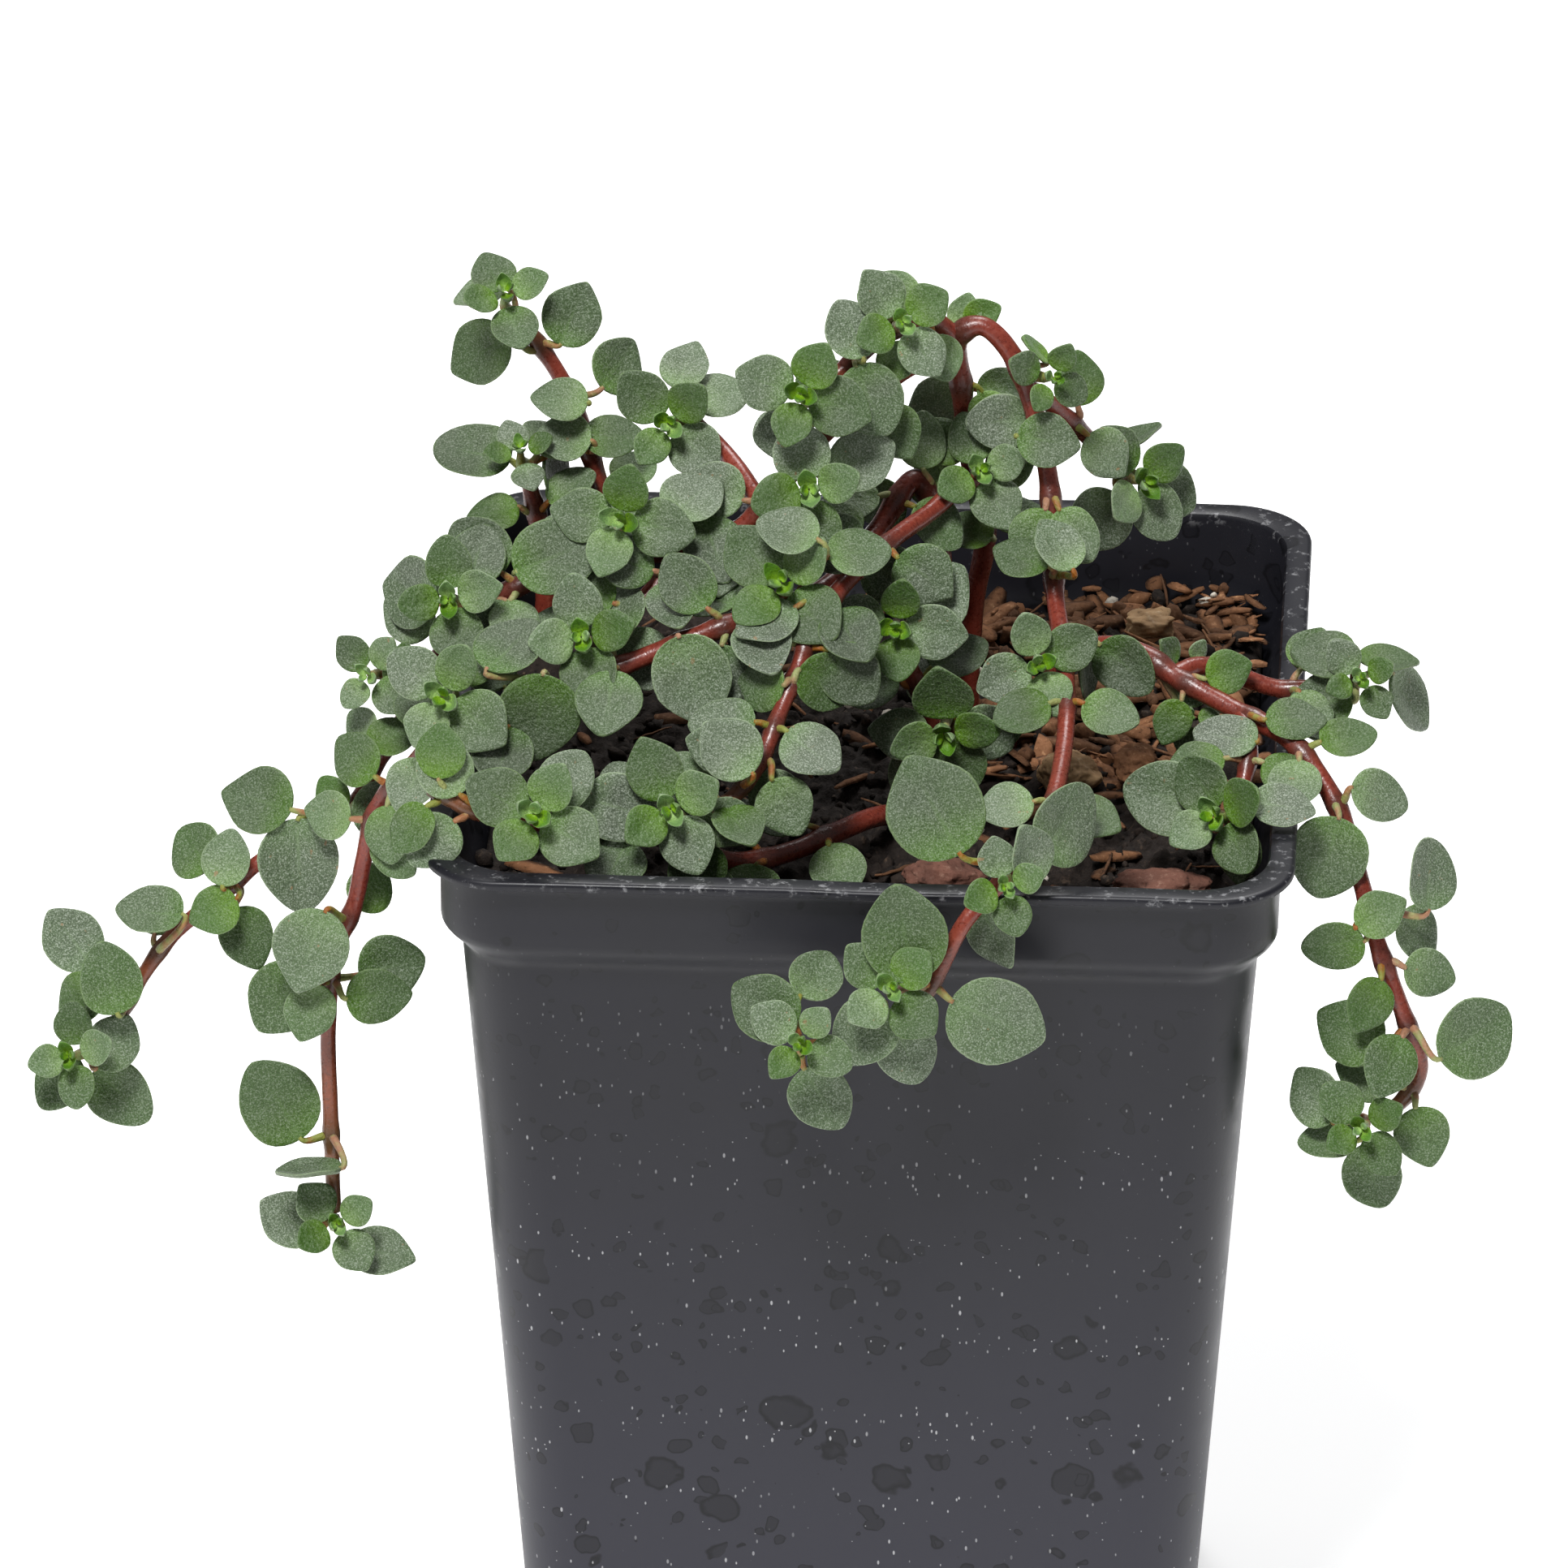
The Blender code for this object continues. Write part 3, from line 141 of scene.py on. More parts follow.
# Side shoots that grew out of a rooted stem: the stem, and the route from a point inside it.
BRANCHES = {
    "top_left": ("arch", [
        (5.8, 6.2, 26.2), (3.4, 5, 28.4), (0.8, 3, 28.1), (-1.8, 1, 26.7), (-4.4, -1, 24.9),
    ]),
    "left": ("arch", [
        (5.8, 6.4, 25.6), (1.6, 4, 24.3), (-3.6, 0, 21.4), (-7.1, -2, 17.6), (-10.4, -3, 14.3),
        (-15.4, -4, 13.1), (-20.2, -5, 12.4), (-25.3, -6, 11.3), (-28.6, -6, 9.3), (-31.8, -6, 5.5),
        (-33.9, -7, 1.7), (-36.4, -8, -2.5), (-38.7, -9, -6.8), (-41.6, -9, -8.2),
        (-45.5, -10, -10.7), (-48.5, -11, -13.2), (-51.8, -12, -15.9), (-54, -13, -18.8),
        (-55.8, -13, -22.3), (-57.6, -13, -24.8),
    ]),
    "left_front": ("arch", [(-10.4, -3, 14.3), (-14.7, -6, 12.4), (-17.6, -8, 10.3), (-20, -9, 8.4)]),
    "left_back": ("arch", [(-8.4, -2.3, 16.2), (-10.2, 0.5, 17.6), (-12, 3, 18.6), (-13.5, 4.2, 19.5)]),
    "middle": ("arch", [
        (7.5, 8, 12.5), (6.4, 4.5, 15), (3.9, 1, 14.2), (1.4, -3, 14), (-2, -8, 12.7),
        (-4.2, -12, 10.7), (-5, -14, 9), (-6.3, -17, 6.5), (-7.6, -20, 4), (-9.6, -22, 2),
        (-12, -23, 0.7),
    ]),
    "right_back": ("arch", [(10.9, 4.9, 23), (12.4, 7, 20.7), (14.8, 9, 17.4), (17.5, 11, 13.4)]),
    "right_side": ("right", [
        (22.4, -6.8, 5.2), (24.8, -5.2, 5.2), (29.9, -5, 3.4), (32.9, -5, 3.5), (35, -5, 3.8),
    ]),
    "right_low": ("right", [(27.6, -10, 3.8), (28.2, -13.5, 2.4), (27.5, -17, -0.4)]),
    "front_low": ("front", [(5, -4, -3), (5.6, -6.5, -0.8), (5.7, -8, 1.5)]),
}

FRONT = (0, -2, 1)
UP = (0, -1, 2)
LEFT = (-1, -2, 1)
RIGHT = (1, -2, 1)

# Leaf whorls: the route and the place along it, counted in its points, then the leaves and rosettes.
WHORLS = {
    "arch_top": ("arch", 4.0, [
        Leaf((-2.1, 2, -2.6), (-1, 0, -0.6), FRONT, 4.6), Leaf((2.6, 2, -1.1), (1, 0, 0.3), UP, 4.2),
        Leaf((-1.5, 1.6, 1), (-1, 0, 2), FRONT, 2.8), Leaf((1.8, 1.6, -2.6), (1, 0, -2), RIGHT, 3.6),
    ]),
    "arch_middle": ("arch", 3.2, [
        Leaf((-1.8, -2, 1.3), (-1, 0, 1), (0, -2, 1.6), 4.2), Leaf((-2.8, -2, -2), (-1, 0, -1), LEFT, 3.2),
        Rosette((0.9, -2.6, -1.9), (0.3, -2, 1), 4.2, 20), Leaf((3.2, 1.6, 0.4), (1, 0, 0.6), RIGHT, 4.4),
    ]),
    "arch_right": ("arch", 8.4, [
        Leaf((0.9, -2, 1.2), (1, 0, -0.2), (0.2, -1, 1.2), 4.8), Leaf((-2.5, 1.6, 0), (-1, 0, 0), FRONT, 4.8),
    ]),
    "arch_drop": ("arch", 10.8, [
        Leaf((-2.4, -1.5, 2.7), (-1, 0, 1), UP, 4.6), Leaf((0.7, -1.9, 3.2), (0.6, 0, 1), (0.4, -1, 1), 4.6),
    ]),
    "arch_foot": ("arch", 11.7, [
        Rosette((-1.8, -2.2, -0.8), FRONT, 4.4, 75), Leaf((2.1, 0, -2.4), (0.3, 0, -1), (3, -1, 0.4), 4.6),
        Leaf((4.2, 0, -2.8), (0.7, 0, -1), FRONT, 5.2),
    ]),
    "front_rim": ("arch", 16.0, [
        Leaf((-5.4, 0.9, 5.2), (-0.5, 0, 1), (0, -2, 1.1), 8.2),
        Leaf((0.1, -1.3, 3.4), (0.1, 0, 1), FRONT, 5),
        Leaf((5.3, 0.6, 2.9), (1, 0, 0.4), (0.4, -2, 0.7), 6.6),
        Leaf((0.6, -1.8, -2.7), (0.2, 0, -1), (0, -2, 0.5), 5.2),
        Rosette((-0.4, -2.7, 0.5), FRONT, 3.2, 20),
    ]),
    "front_end": ("arch", 18.0, [
        Leaf((-2.2, -0.5, 4.7), (-0.2, 0, 1), (-0.2, -2, 0.8), 7.2),
        Leaf((4.9, -0.6, -2.7), (1, 0, -0.5), (0.3, -2, 0.4), 7.8),
        Rosette((-2.9, -1.6, 0.2), (0, -2, 1.4), 4, 40),
    ]),
    "front_tip": ("arch", 21.0, [
        Leaf((-2.6, -0.4, 3.6), (-0.8, 0, 1), (-0.4, -2, 0.8), 5.6),
        Leaf((1.3, -0.2, 4.9), (0.4, 0, 1), (0.8, -2, 0.8), 4.8),
        Leaf((1.4, -0.5, -3), (0.6, 0, -1), (0, -2, 0.5), 5.4),
        Rosette((0, -1.6, 1.4), (-0.3, -2, 1), 3.6, 60),
    ]),
    "top_left_crown": ("top_left", 1.8, [
        Rosette((0.3, -1.8, 1.2), (0.4, -2, 1.2), 4, 30),
        Leaf((-1.5, 1.1, 2.3), (-0.2, 0, 1), (0, -1, 1.4), 3.6),
    ]),
    "top_left_middle": ("top_left", 3.0, [
        Leaf((-0.1, -1.1, 3), (-0.2, 0, 1), (0, -2, 1.2), 4.8),
        Leaf((1.4, -2.2, -1.8), (1, 0, -0.6), (0.3, -2, 0.8), 5.8),
        Leaf((3.4, 0.3, 0.4), (1, 0, 0.2), RIGHT, 3.6),
    ]),
    "top_left_tip": ("top_left", 4.0, [
        Rosette((-0.4, -1.4, 1.3), FRONT, 4.6, 70), Leaf((-1.8, -0.4, -2.2), (-0.7, 0, -1), LEFT, 5),
    ]),
    "left_upper": ("left", 2.5, [
        Rosette((0.8, -2.9, -1), FRONT, 4.8, 10), Leaf((4.4, -1.6, 1), (1, 0, 0.6), FRONT, 5.4),
        Leaf((-1.6, 2.6, 0.8), (-0.6, 1, 0.4), UP, 4.6),
    ]),
    "left_shoot_back": ("left_back", 3.0, [
        Leaf((2.3, 0.6, 1.8), (1, 0, 0.8), UP, 4.6), Rosette((-1.4, -2, 0.4), FRONT, 4.4, 50),
        Leaf((0.2, 2.4, 3.2), (0.2, 0, 1), UP, 4.4),
    ]),
    "left_crest": ("left", 5.05, [
        Leaf((2.4, 0.3, 4.6), (0.4, 0, 1), UP, 5.2), Leaf((2.9, -2.3, 0), (0.2, 0, -1), FRONT, 5.6),
    ]),
    "left_crest_end": ("left", 5.7, [
        Rosette((0.3, -1.2, 3.9), (-0.2, -2, 1), 4.8, 80), Leaf((-0.4, 2.6, 1.4), (-0.2, 1, 0.4), UP, 4.6),
    ]),
    "left_bend": ("left", 6.5, [
        Leaf((-0.4, -2.2, 2.6), (0.9, 0, 0.5), (0, -2, 1.5), 6.8),
        Leaf((0.3, 2.6, 1.2), (0.3, 1, 0.4), UP, 5),
    ]),
    "left_shoulder": ("left", 8.2, [
        Rosette((-1.9, -2.2, 2.2), FRONT, 4.4, 10), Leaf((0.1, 0.2, 5), (0.2, 0, 1), (0.2, -1, 1.4), 5.2),
        Leaf((-5.3, 0.3, 1), (-1, 0, 0.2), (-0.6, -1, 0.4), 5.8),
    ]),
    "left_trail": ("left", 12.8, [
        Leaf((-1.4, -2.2, -2.4), (0.3, 0, -1), (0.1, -2, 0.8), 7.2),
        Leaf((-4.8, -0.4, 2.1), (-1, 0, 0.8), (-0.2, -1, 1), 5.8),
    ]),
    "left_trail_middle": ("left", 14.6, [
        Leaf((-0.2, -1.6, 2.7), (0.1, 0, 1), FRONT, 4.4),
        Leaf((-3.2, 0.3, 2.5), (-1, 0, 1), (-0.6, -1, 0.8), 4.8),
        Leaf((-1, -2.1, -0.6), (-1, 0, -0.6), FRONT, 4),
        Leaf((0.7, -1.2, -3.6), (0.3, 0, -1), (0.2, -2, 0.8), 5),
    ]),
    "left_trail_end": ("left", 17.6, [
        Leaf((-1.4, -1.6, 2.6), (0, 0, 1), FRONT, 5.6), Leaf((-3.9, -0.2, -0.1), (-1, 0, -1), LEFT, 4.4),
        Leaf((-5, 0.6, 3.9), (-0.8, 0, 1), (0.4, -1, 0.6), 5.4),
    ]),
    "left_tip": ("left", 19.0, [
        Rosette((-0.6, -1.2, 0.3), (-0.6, -2, 1), 3.6, 20), Leaf((1.9, -1, 1.9), (0.8, 0, 1), RIGHT, 4.6),
        Leaf((-2.3, -0.8, -1.9), (-0.6, 0, -1), LEFT, 5), Leaf((2.2, -0.4, -3.7), (1, 0, -1), FRONT, 5.6),
    ]),
    "left_front_tip": ("left_front", 3.0, [
        Rosette((0, -1.4, 0.8), FRONT, 4.6, 20), Leaf((1.4, -0.8, -2.8), (0.5, 0, -1), FRONT, 4.8),
        Leaf((-2.6, -0.3, 1.6), (-1, 0, 0.6), UP, 4.6),
    ]),
    "centre_crown": ("centre", 5.6, [
        Rosette((0.1, -2.8, 1.5), (0.1, -2, 1.1), 5.2, 50), Leaf((-0.6, -0.8, 4.2), (-0.4, 0, 1), UP, 4.8),
        Leaf((3.4, -1.2, 3.6), (1, 0, 1), UP, 4.8), Leaf((-3.6, -1.4, -0.8), (-1, 0, -0.6), LEFT, 5),
    ]),
    "centre_left": ("centre", 7.6, [
        Leaf((1.1, -2.2, -1.9), (0.3, 0, -1), (0, -2, 1.1), 6.8),
        Leaf((0.6, 2.3, -1.4), (0.4, 1, -0.6), UP, 5),
    ]),
    "centre_fall": ("centre", 9.2, [
        Leaf((-0.8, -2.4, 0), (-0.1, 0, -1), (0, -2, 1.1), 6.6),
        Leaf((-2.8, -1.6, 4.1), (0.4, 0, 1), (0, -1, 1.2), 6),
    ]),
    "centre_rim": ("centre", 10.4, [
        Rosette((-1.6, -1.9, 3.3), (-0.2, -2, 1.2), 4.8, 60), Leaf((0.4, 1.6, 4.4), (0.3, 0, 1), UP, 4.2),
        Leaf((1.8, -2.4, 1), (1, 0, -0.4), FRONT, 4.8),
    ]),
    "centre_hang": ("centre", 15.3, [
        Leaf((-2.6, -3.4, -1), (-0.3, 0, -1), (-0.1, -2, 0.9), 6.6),
        Leaf((1.4, 2.4, 1.2), (0.6, 0.6, 1), RIGHT, 4),
    ]),
    "centre_hang_middle": ("centre", 16.3, [
        Leaf((-3.8, 0, -1.9), (-1, 0, -0.4), (-0.2, -2, 0.9), 6),
        Leaf((-1.4, -2.5, -1.6), (-0.3, 0, -1), FRONT, 4.6),
        Leaf((3.7, -1.2, -0.8), (1, 0, 0.1), (0.2, -2, 0.8), 5),
        Leaf((4.5, 1.4, 0.4), (1, 0, 0.3), (0.4, -2, 1), 5.2),
    ]),
    "centre_hang_low": ("centre", 18.9, [
        Leaf((-4.1, 0, 2.7), (-0.6, 0, 1), (0.1, -2, 0.9), 6.8),
        Leaf((-1.5, -1.4, -2.7), (-0.6, 0, 1), UP, 5),
    ]),
    "centre_tip": ("centre", 20.0, [
        Leaf((-3, -0.3, 0.2), (-1, 0, 0.4), (0.4, -1, 1), 5), Leaf((2.6, -0.9, -1.4), (1, 0, -0.3), UP, 5.2),
        Rosette((0.1, -1.2, 0.4), (0.2, -1, 1.2), 3.4, 30),
    ]),
    "middle_low": ("middle", 8.6, [
        Leaf((-1, -0.8, 3.6), (-0.8, 0, 1), (0.3, -2, 1.2), 5.2),
        Leaf((2.2, 0.8, -1.2), (1, 0, -0.6), FRONT, 4.4),
    ]),
    "middle_tip": ("middle", 10.0, [
        Rosette((-1.1, -1.2, 2.1), FRONT, 4.8, 30), Leaf((3.1, -0.6, 1.1), (1, 0, 0.2), RIGHT, 4.4),
        Leaf((0.5, -1.4, -2), (0.3, 0, -1), (0.5, -2, 0.4), 5),
    ]),
    "low_end": ("low", 5.2, [
        Rosette((-0.5, -2.2, 1.1), (0, -2, 1.2), 5, 60), Leaf((1.8, -0.3, 3.4), (0.6, 0, 1), FRONT, 5),
        Leaf((5.2, 0.6, 0.8), (1, 0, -0.3), FRONT, 6.2),
    ]),
    "front_crown": ("front", 3.0, [
        Rosette((0, -1.2, 1.6), FRONT, 4.6, 50), Leaf((2.9, 0.2, 3.2), (0.8, 0, 1), (0, -2, 1.3), 6),
    ]),
    "front_low_tip": ("front_low", 2.0, [
        Rosette((0, -1, 1), FRONT, 4.6, 15), Leaf((3.1, -0.6, -1.1), (1, 0, -0.6), RIGHT, 4.8),
    ]),
    "right_low_tip": ("right_low", 2.0, [
        Rosette((0, -1.4, 0.7), (0, -2, 1.2), 4.6, 60), Leaf((-5.2, -0.4, 2.1), (-1, 0, 0.4), FRONT, 6.2),
        Leaf((3.2, -2.4, 2.4), (1, 0, 0.3), UP, 4.8), Leaf((0.7, -2, -1.6), (0.1, 0, -1), FRONT, 4.6),
    ]),
    "right_rim": ("right", 7.0, [
        Leaf((-0.9, -2.6, -2.4), (-0.3, 0, -1), (-0.2, -2, 0.8), 6.4),
        Leaf((2.6, 0.2, 0.6), (1, 0, -0.2), (0.6, -1, 1), 4.8),
    ]),
    "right_hang": ("right", 8.5, [
        Leaf((0.9, -1.9, 1), (0.4, 0, 1), FRONT, 4.2), Leaf((4, 0.4, 2.8), (0.4, 0, 1), (1, -1, 0.4), 5.4),
        Leaf((3.9, -0.5, -1.5), (0.8, 0, -1), RIGHT, 4.6),
        Leaf((-1.9, -1.3, -0.6), (-1, 0, -0.2), FRONT, 4.8),
    ]),
    "right_end": ("right", 10.2, [
        Leaf((-4.4, -1, 0), (-1, 0, 0.6), (-0.4, -2, 1), 5.6),
        Leaf((-2.1, -1.9, -1.9), (-0.6, 0, -1), FRONT, 5),
        Leaf((4.5, -0.5, -0.3), (0.6, 0, 1), RIGHT, 6.8),
    ]),
    "right_tip": ("right", 13.0, [
        Leaf((-3.7, -0.4, 2.2), (-1, 0, 1), LEFT, 5), Leaf((-2.6, -1, -1.2), (-1, 0, -0.6), UP, 4.4),
        Leaf((0.7, -1, -3), (0.3, 0, -1), (0, -2, 0.6), 5.4), Rosette((0.4, -2.2, 0.9), FRONT, 3.4, 40),
    ]),
    "right_side_tip": ("right_side", 4.0, [
        Leaf((-2.4, 0, 2.6), (-1, 0, 0.5), UP, 5), Leaf((-2.2, -1.9, -0.3), (-1, 0, -0.3), (0, -2, 1.6), 4.8),
        Leaf((2.4, 0.4, 2.1), (1, 0, 0.1), UP, 4.6), Leaf((3.9, -0.5, -1.9), (0.5, 0, -1), RIGHT, 5.8),
        Rosette((0.4, -1.2, 0.8), (0, -2, 1.4), 3, 30),
    ]),
    "right_back_tip": ("right_back", 3.0, [
        Rosette((0.5, -1.4, 0.3), RIGHT, 4.4, 25), Leaf((-1.8, -1, -3.7), (-0.6, 0, -1), FRONT, 5.2),
        Leaf((3.5, 0, -1.6), (1, 0, -0.6), RIGHT, 5.2), Leaf((0.7, 1, 2.4), (0.4, 0, 1), UP, 4.8),
    ]),
    "back_left_middle": ("back_left", 4.4, [
        Leaf((-1, -1.3, 0.6), (-1, 0, 0.4), UP, 4.4), Leaf((2.6, 0, 2), (1, 0, 1), RIGHT, 4.8),
    ]),
    "back_left_top": ("back_left", 6.0, [
        Leaf((2.6, 0.3, 2.6), (0.4, 0, 1), (0.2, -2, 1), 5.2),
        Leaf((-4.6, -0.6, -0.6), (-1, 0, -0.6), LEFT, 5.8),
    ]),
    "back_left_tip": ("back_left", 7.0, [
        Rosette((-0.6, -0.8, 1), UP, 3.8, 20), Leaf((-2.7, 0, 1.5), (-1, 0, 0.3), UP, 4),
    ]),
    "back_tip": ("back", 4.0, [
        Leaf((-4, 0, 1.1), (-1, 0, 0), UP, 6.2), Leaf((1.9, 0.2, 2.2), (1, 0, 0.3), UP, 4.8),
        Leaf((2.6, -0.6, -0.6), (1, 0, -0.4), RIGHT, 4.6), Rosette((-0.2, -1.2, 0.6), UP, 2.8, 30),
    ]),
}

# Whorls that are too small or too close to others to be parts of their own.
INNER_WHORLS = {
    "arch_low": ("arch", 2.1, [
        Leaf((-1.2, -2.1, 1.2), (-1, 0, 1), UP, 4), Leaf((2.2, 0, 1), (1, 0, 1), UP, 4),
    ]),
    "arch_shoulder": ("arch", 7.3, [
        Rosette((1.9, -1, 0), (1, -2, 1), 2.8, 50), Leaf((1.2, 0.7, 1.6), (1, 0, 1.6), (1, 0, 0.8), 2.8),
    ]),
    "arch_apex": ("arch", 5.3, [
        Leaf((0, 1.5, 0.8), (0.2, 0.2, 1), FRONT, 3), Leaf((1.2, 1.4, 0.6), (1, 0, 0.6), FRONT, 3),
        Leaf((-2, 0, -0.5), (-1, 0, -0.2), FRONT, 2.5),
    ]),
    "front_droop": ("arch", 19.3, [
        Leaf((-1.9, -2, 0.5), (-0.6, 0, -1), (0, -2, 0.8), 5.4),
        Leaf((1.3, -1.2, -1.7), (0.4, 0, -1), (0.3, -2, 0.4), 5),
    ]),
    "left_outer": ("left", 9.6, [
        Rosette((-3.8, -1, 0.8), (-0.6, -2, 1), 3.4, 60), Leaf((-1.7, -1.9, 1.8), (-0.2, 0, 1), LEFT, 4),
    ]),
    "left_rim": ("left", 10.8, [
        Leaf((0.6, -2.3, 2), (0.6, 0, 1), UP, 4.2), Leaf((-1.8, -1.2, 1.6), (-1, 0, 0.6), LEFT, 3.8),
    ]),
    "left_turn": ("left", 11.8, [
        Leaf((1.9, -2.6, 1.2), (1, 0, 0.3), FRONT, 5.2), Leaf((-1.9, -1.2, 1.2), (-1, 0, 1), LEFT, 3.4),
    ]),
    "left_trail_low": ("left", 16.4, [
        Leaf((-0.7, -1.1, 4), (-1, 0, 0.3), UP, 5.2), Leaf((0.4, 1.8, 1.8), (0.6, 0.4, 1), UP, 4),
    ]),
    "centre_bend": ("centre", 4.4, [
        Leaf((2.6, -2.1, 0.6), (1, 0, -0.4), FRONT, 5), Leaf((-1.9, 1, 2.2), (-1, 0, 1), UP, 4.6),
    ]),
    "middle_inner": ("middle", 6.4, [
        Leaf((2.2, 0.4, -0.2), (1, 0, -0.6), RIGHT, 4.8), Leaf((-2.2, -0.8, -0.6), (-1, 0, -0.4), LEFT, 4.6),
    ]),
    "right_over": ("right", 5.2, [
        Leaf((-1.7, -2.2, -1), (-1, 0, 0.4), UP, 5), Leaf((3.2, -1.4, 0.6), (1, 0, 0.2), UP, 4.6),
    ]),
    "right_buds": ("right", 3.6, [
        Rosette((2.7, 0.5, -0.8), FRONT, 2.2, 30), Rosette((1.8, -1, -2.9), FRONT, 2.4, 10),
    ]),
    "back_left_low": ("back_left", 3.2, [
        Leaf((1.9, -0.6, 1.7), (1, 0, 0.3), UP, 4.6), Leaf((-1.9, -0.5, 1.3), (-1, 0, 0.4), UP, 4.2),
    ]),
}

# More opposite pairs, where there is room: stem, place on it, turn in degrees, leaf length, facing.
INNER_PAIRS = [
    ("arch", 9.5, 80, 4.6, FRONT), ("arch", 12.6, 80, 4.4, UP), ("arch", 2.6, 20, 4.0, FRONT),
    ("arch", 14.2, 90, 4.4, UP),
    ("left", 1.4, 90, 4.4, FRONT), ("left", 3.4, 90, 5.0, FRONT), ("left", 4.2, 60, 4.8, UP),
    ("left", 7.3, 90, 5.4, FRONT), ("left", 7.7, 20, 4.6, UP), ("left", 8.9, 90, 4.6, FRONT),
    ("left_front", 1.2, 90, 5.0, UP), ("left_front", 2.1, 30, 4.8, FRONT),
    ("top_left", 0.9, 80, 3.6, FRONT),
    ("centre", 2.6, 80, 4.4, FRONT), ("centre", 3.5, 20, 4.6, UP), ("centre", 6.4, 90, 5.4, UP),
    ("centre", 7.0, 30, 5.0, FRONT), ("centre", 8.4, 80, 5.6, UP), ("centre", 9.7, 90, 5.2, UP),
    ("centre", 11.2, 60, 4.8, UP), ("centre", 12.2, 90, 4.4, LEFT), ("centre", 13.2, 30, 4.2, LEFT),
    ("middle", 3.2, 90, 5.0, FRONT), ("middle", 4.4, 20, 5.0, UP), ("middle", 5.4, 90, 5.2, FRONT),
    ("middle", 7.3, 90, 5.0, UP), ("middle", 7.9, 20, 4.6, FRONT), ("middle", 9.3, 90, 4.6, UP),
    ("low", 1.6, 90, 4.6, UP), ("low", 2.5, 20, 5.0, UP), ("low", 3.3, 90, 5.2, UP),
    ("low", 4.2, 30, 5.0, UP),
    ("low", 6.3, 90, 4.6, FRONT), ("low", 6.8, 30, 4.2, LEFT),
    ("front", 1.4, 90, 4.6, FRONT), ("front", 2.2, 20, 5.0, UP), ("front_low", 1.1, 90, 4.6, FRONT),
    ("right", 4.2, 90, 3.6, FRONT), ("right", 6.2, 60, 4.4, UP), ("right", 9.2, 90, 4.4, RIGHT),
    ("right", 11.6, 60, 4.6, FRONT), ("right_low", 1.2, 90, 4.4, UP), ("right_side", 2.4, 90, 4.4, UP),
    ("right_back", 1.8, 90, 4.2, RIGHT), ("back_left", 2.2, 30, 3.8, UP), ("back", 2.4, 30, 4.2, UP),
]

# ---------------------------------------------------------------- camera and light

# The lens looks down at the pot from a little to its right.
VIEW_AZIMUTH = math.radians(3.0)
VIEW_ELEVATION = math.radians(28.0)
VIEW_DISTANCE = 1.2
VIEW_TARGET = Vector((-0.00684, 0, 0.07564))
LENS = 367.6


def add_camera():
    back = Vector((
        math.sin(VIEW_AZIMUTH) * math.cos(VIEW_ELEVATION),
        -math.cos(VIEW_AZIMUTH) * math.cos(VIEW_ELEVATION),
        math.sin(VIEW_ELEVATION),
    ))
    data = bpy.data.cameras.new("camera")
    data.lens = LENS
    data.sensor_width = 36
    data.clip_start = 0.05
    data.clip_end = 20
    camera = bpy.data.objects.new("camera", data)
    camera.location = VIEW_TARGET + back * VIEW_DISTANCE
    camera.rotation_euler = back.to_track_quat("Z", "Y").to_euler()
    bpy.context.scene.collection.objects.link(camera)
    bpy.context.scene.camera = camera


def add_softbox(name, place, aim, width, height, power):
    data = bpy.data.lights.new(name, "AREA")
    data.shape = "RECTANGLE"
    data.size = width
    data.size_y = height
    data.energy = power
    light = bpy.data.objects.new(name, data)
    light.location = place
    light.rotation_euler = (Vector(place) - Vector(aim)).to_track_quat("Z", "Y").to_euler()
    bpy.context.scene.collection.objects.link(light)


def add_studio():
    scene = bpy.context.scene
    scene.view_settings.view_transform = "Standard"
    world = bpy.data.worlds.new("studio")
    scene.world = world
    world.use_nodes = True
    sky = world.node_tree.nodes["Background"]
    sky.inputs["Color"].default_value = (0.97, 0.985, 1.0, 1)
    sky.inputs["Strength"].default_value = 0.2
    middle = (0, 0, 0.08)
    add_softbox("key", (-0.12, -0.42, 0.82), middle, 0.2, 0.2, 9.4)
    add_softbox("fill", (-0.7, -0.5, 0.5), middle, 0.6, 0.6, 0.6)
    add_softbox("top", (0.05, 0.50, 0.85), middle, 0.35, 0.35, 5.0)


# ---------------------------------------------------------------- material helpers

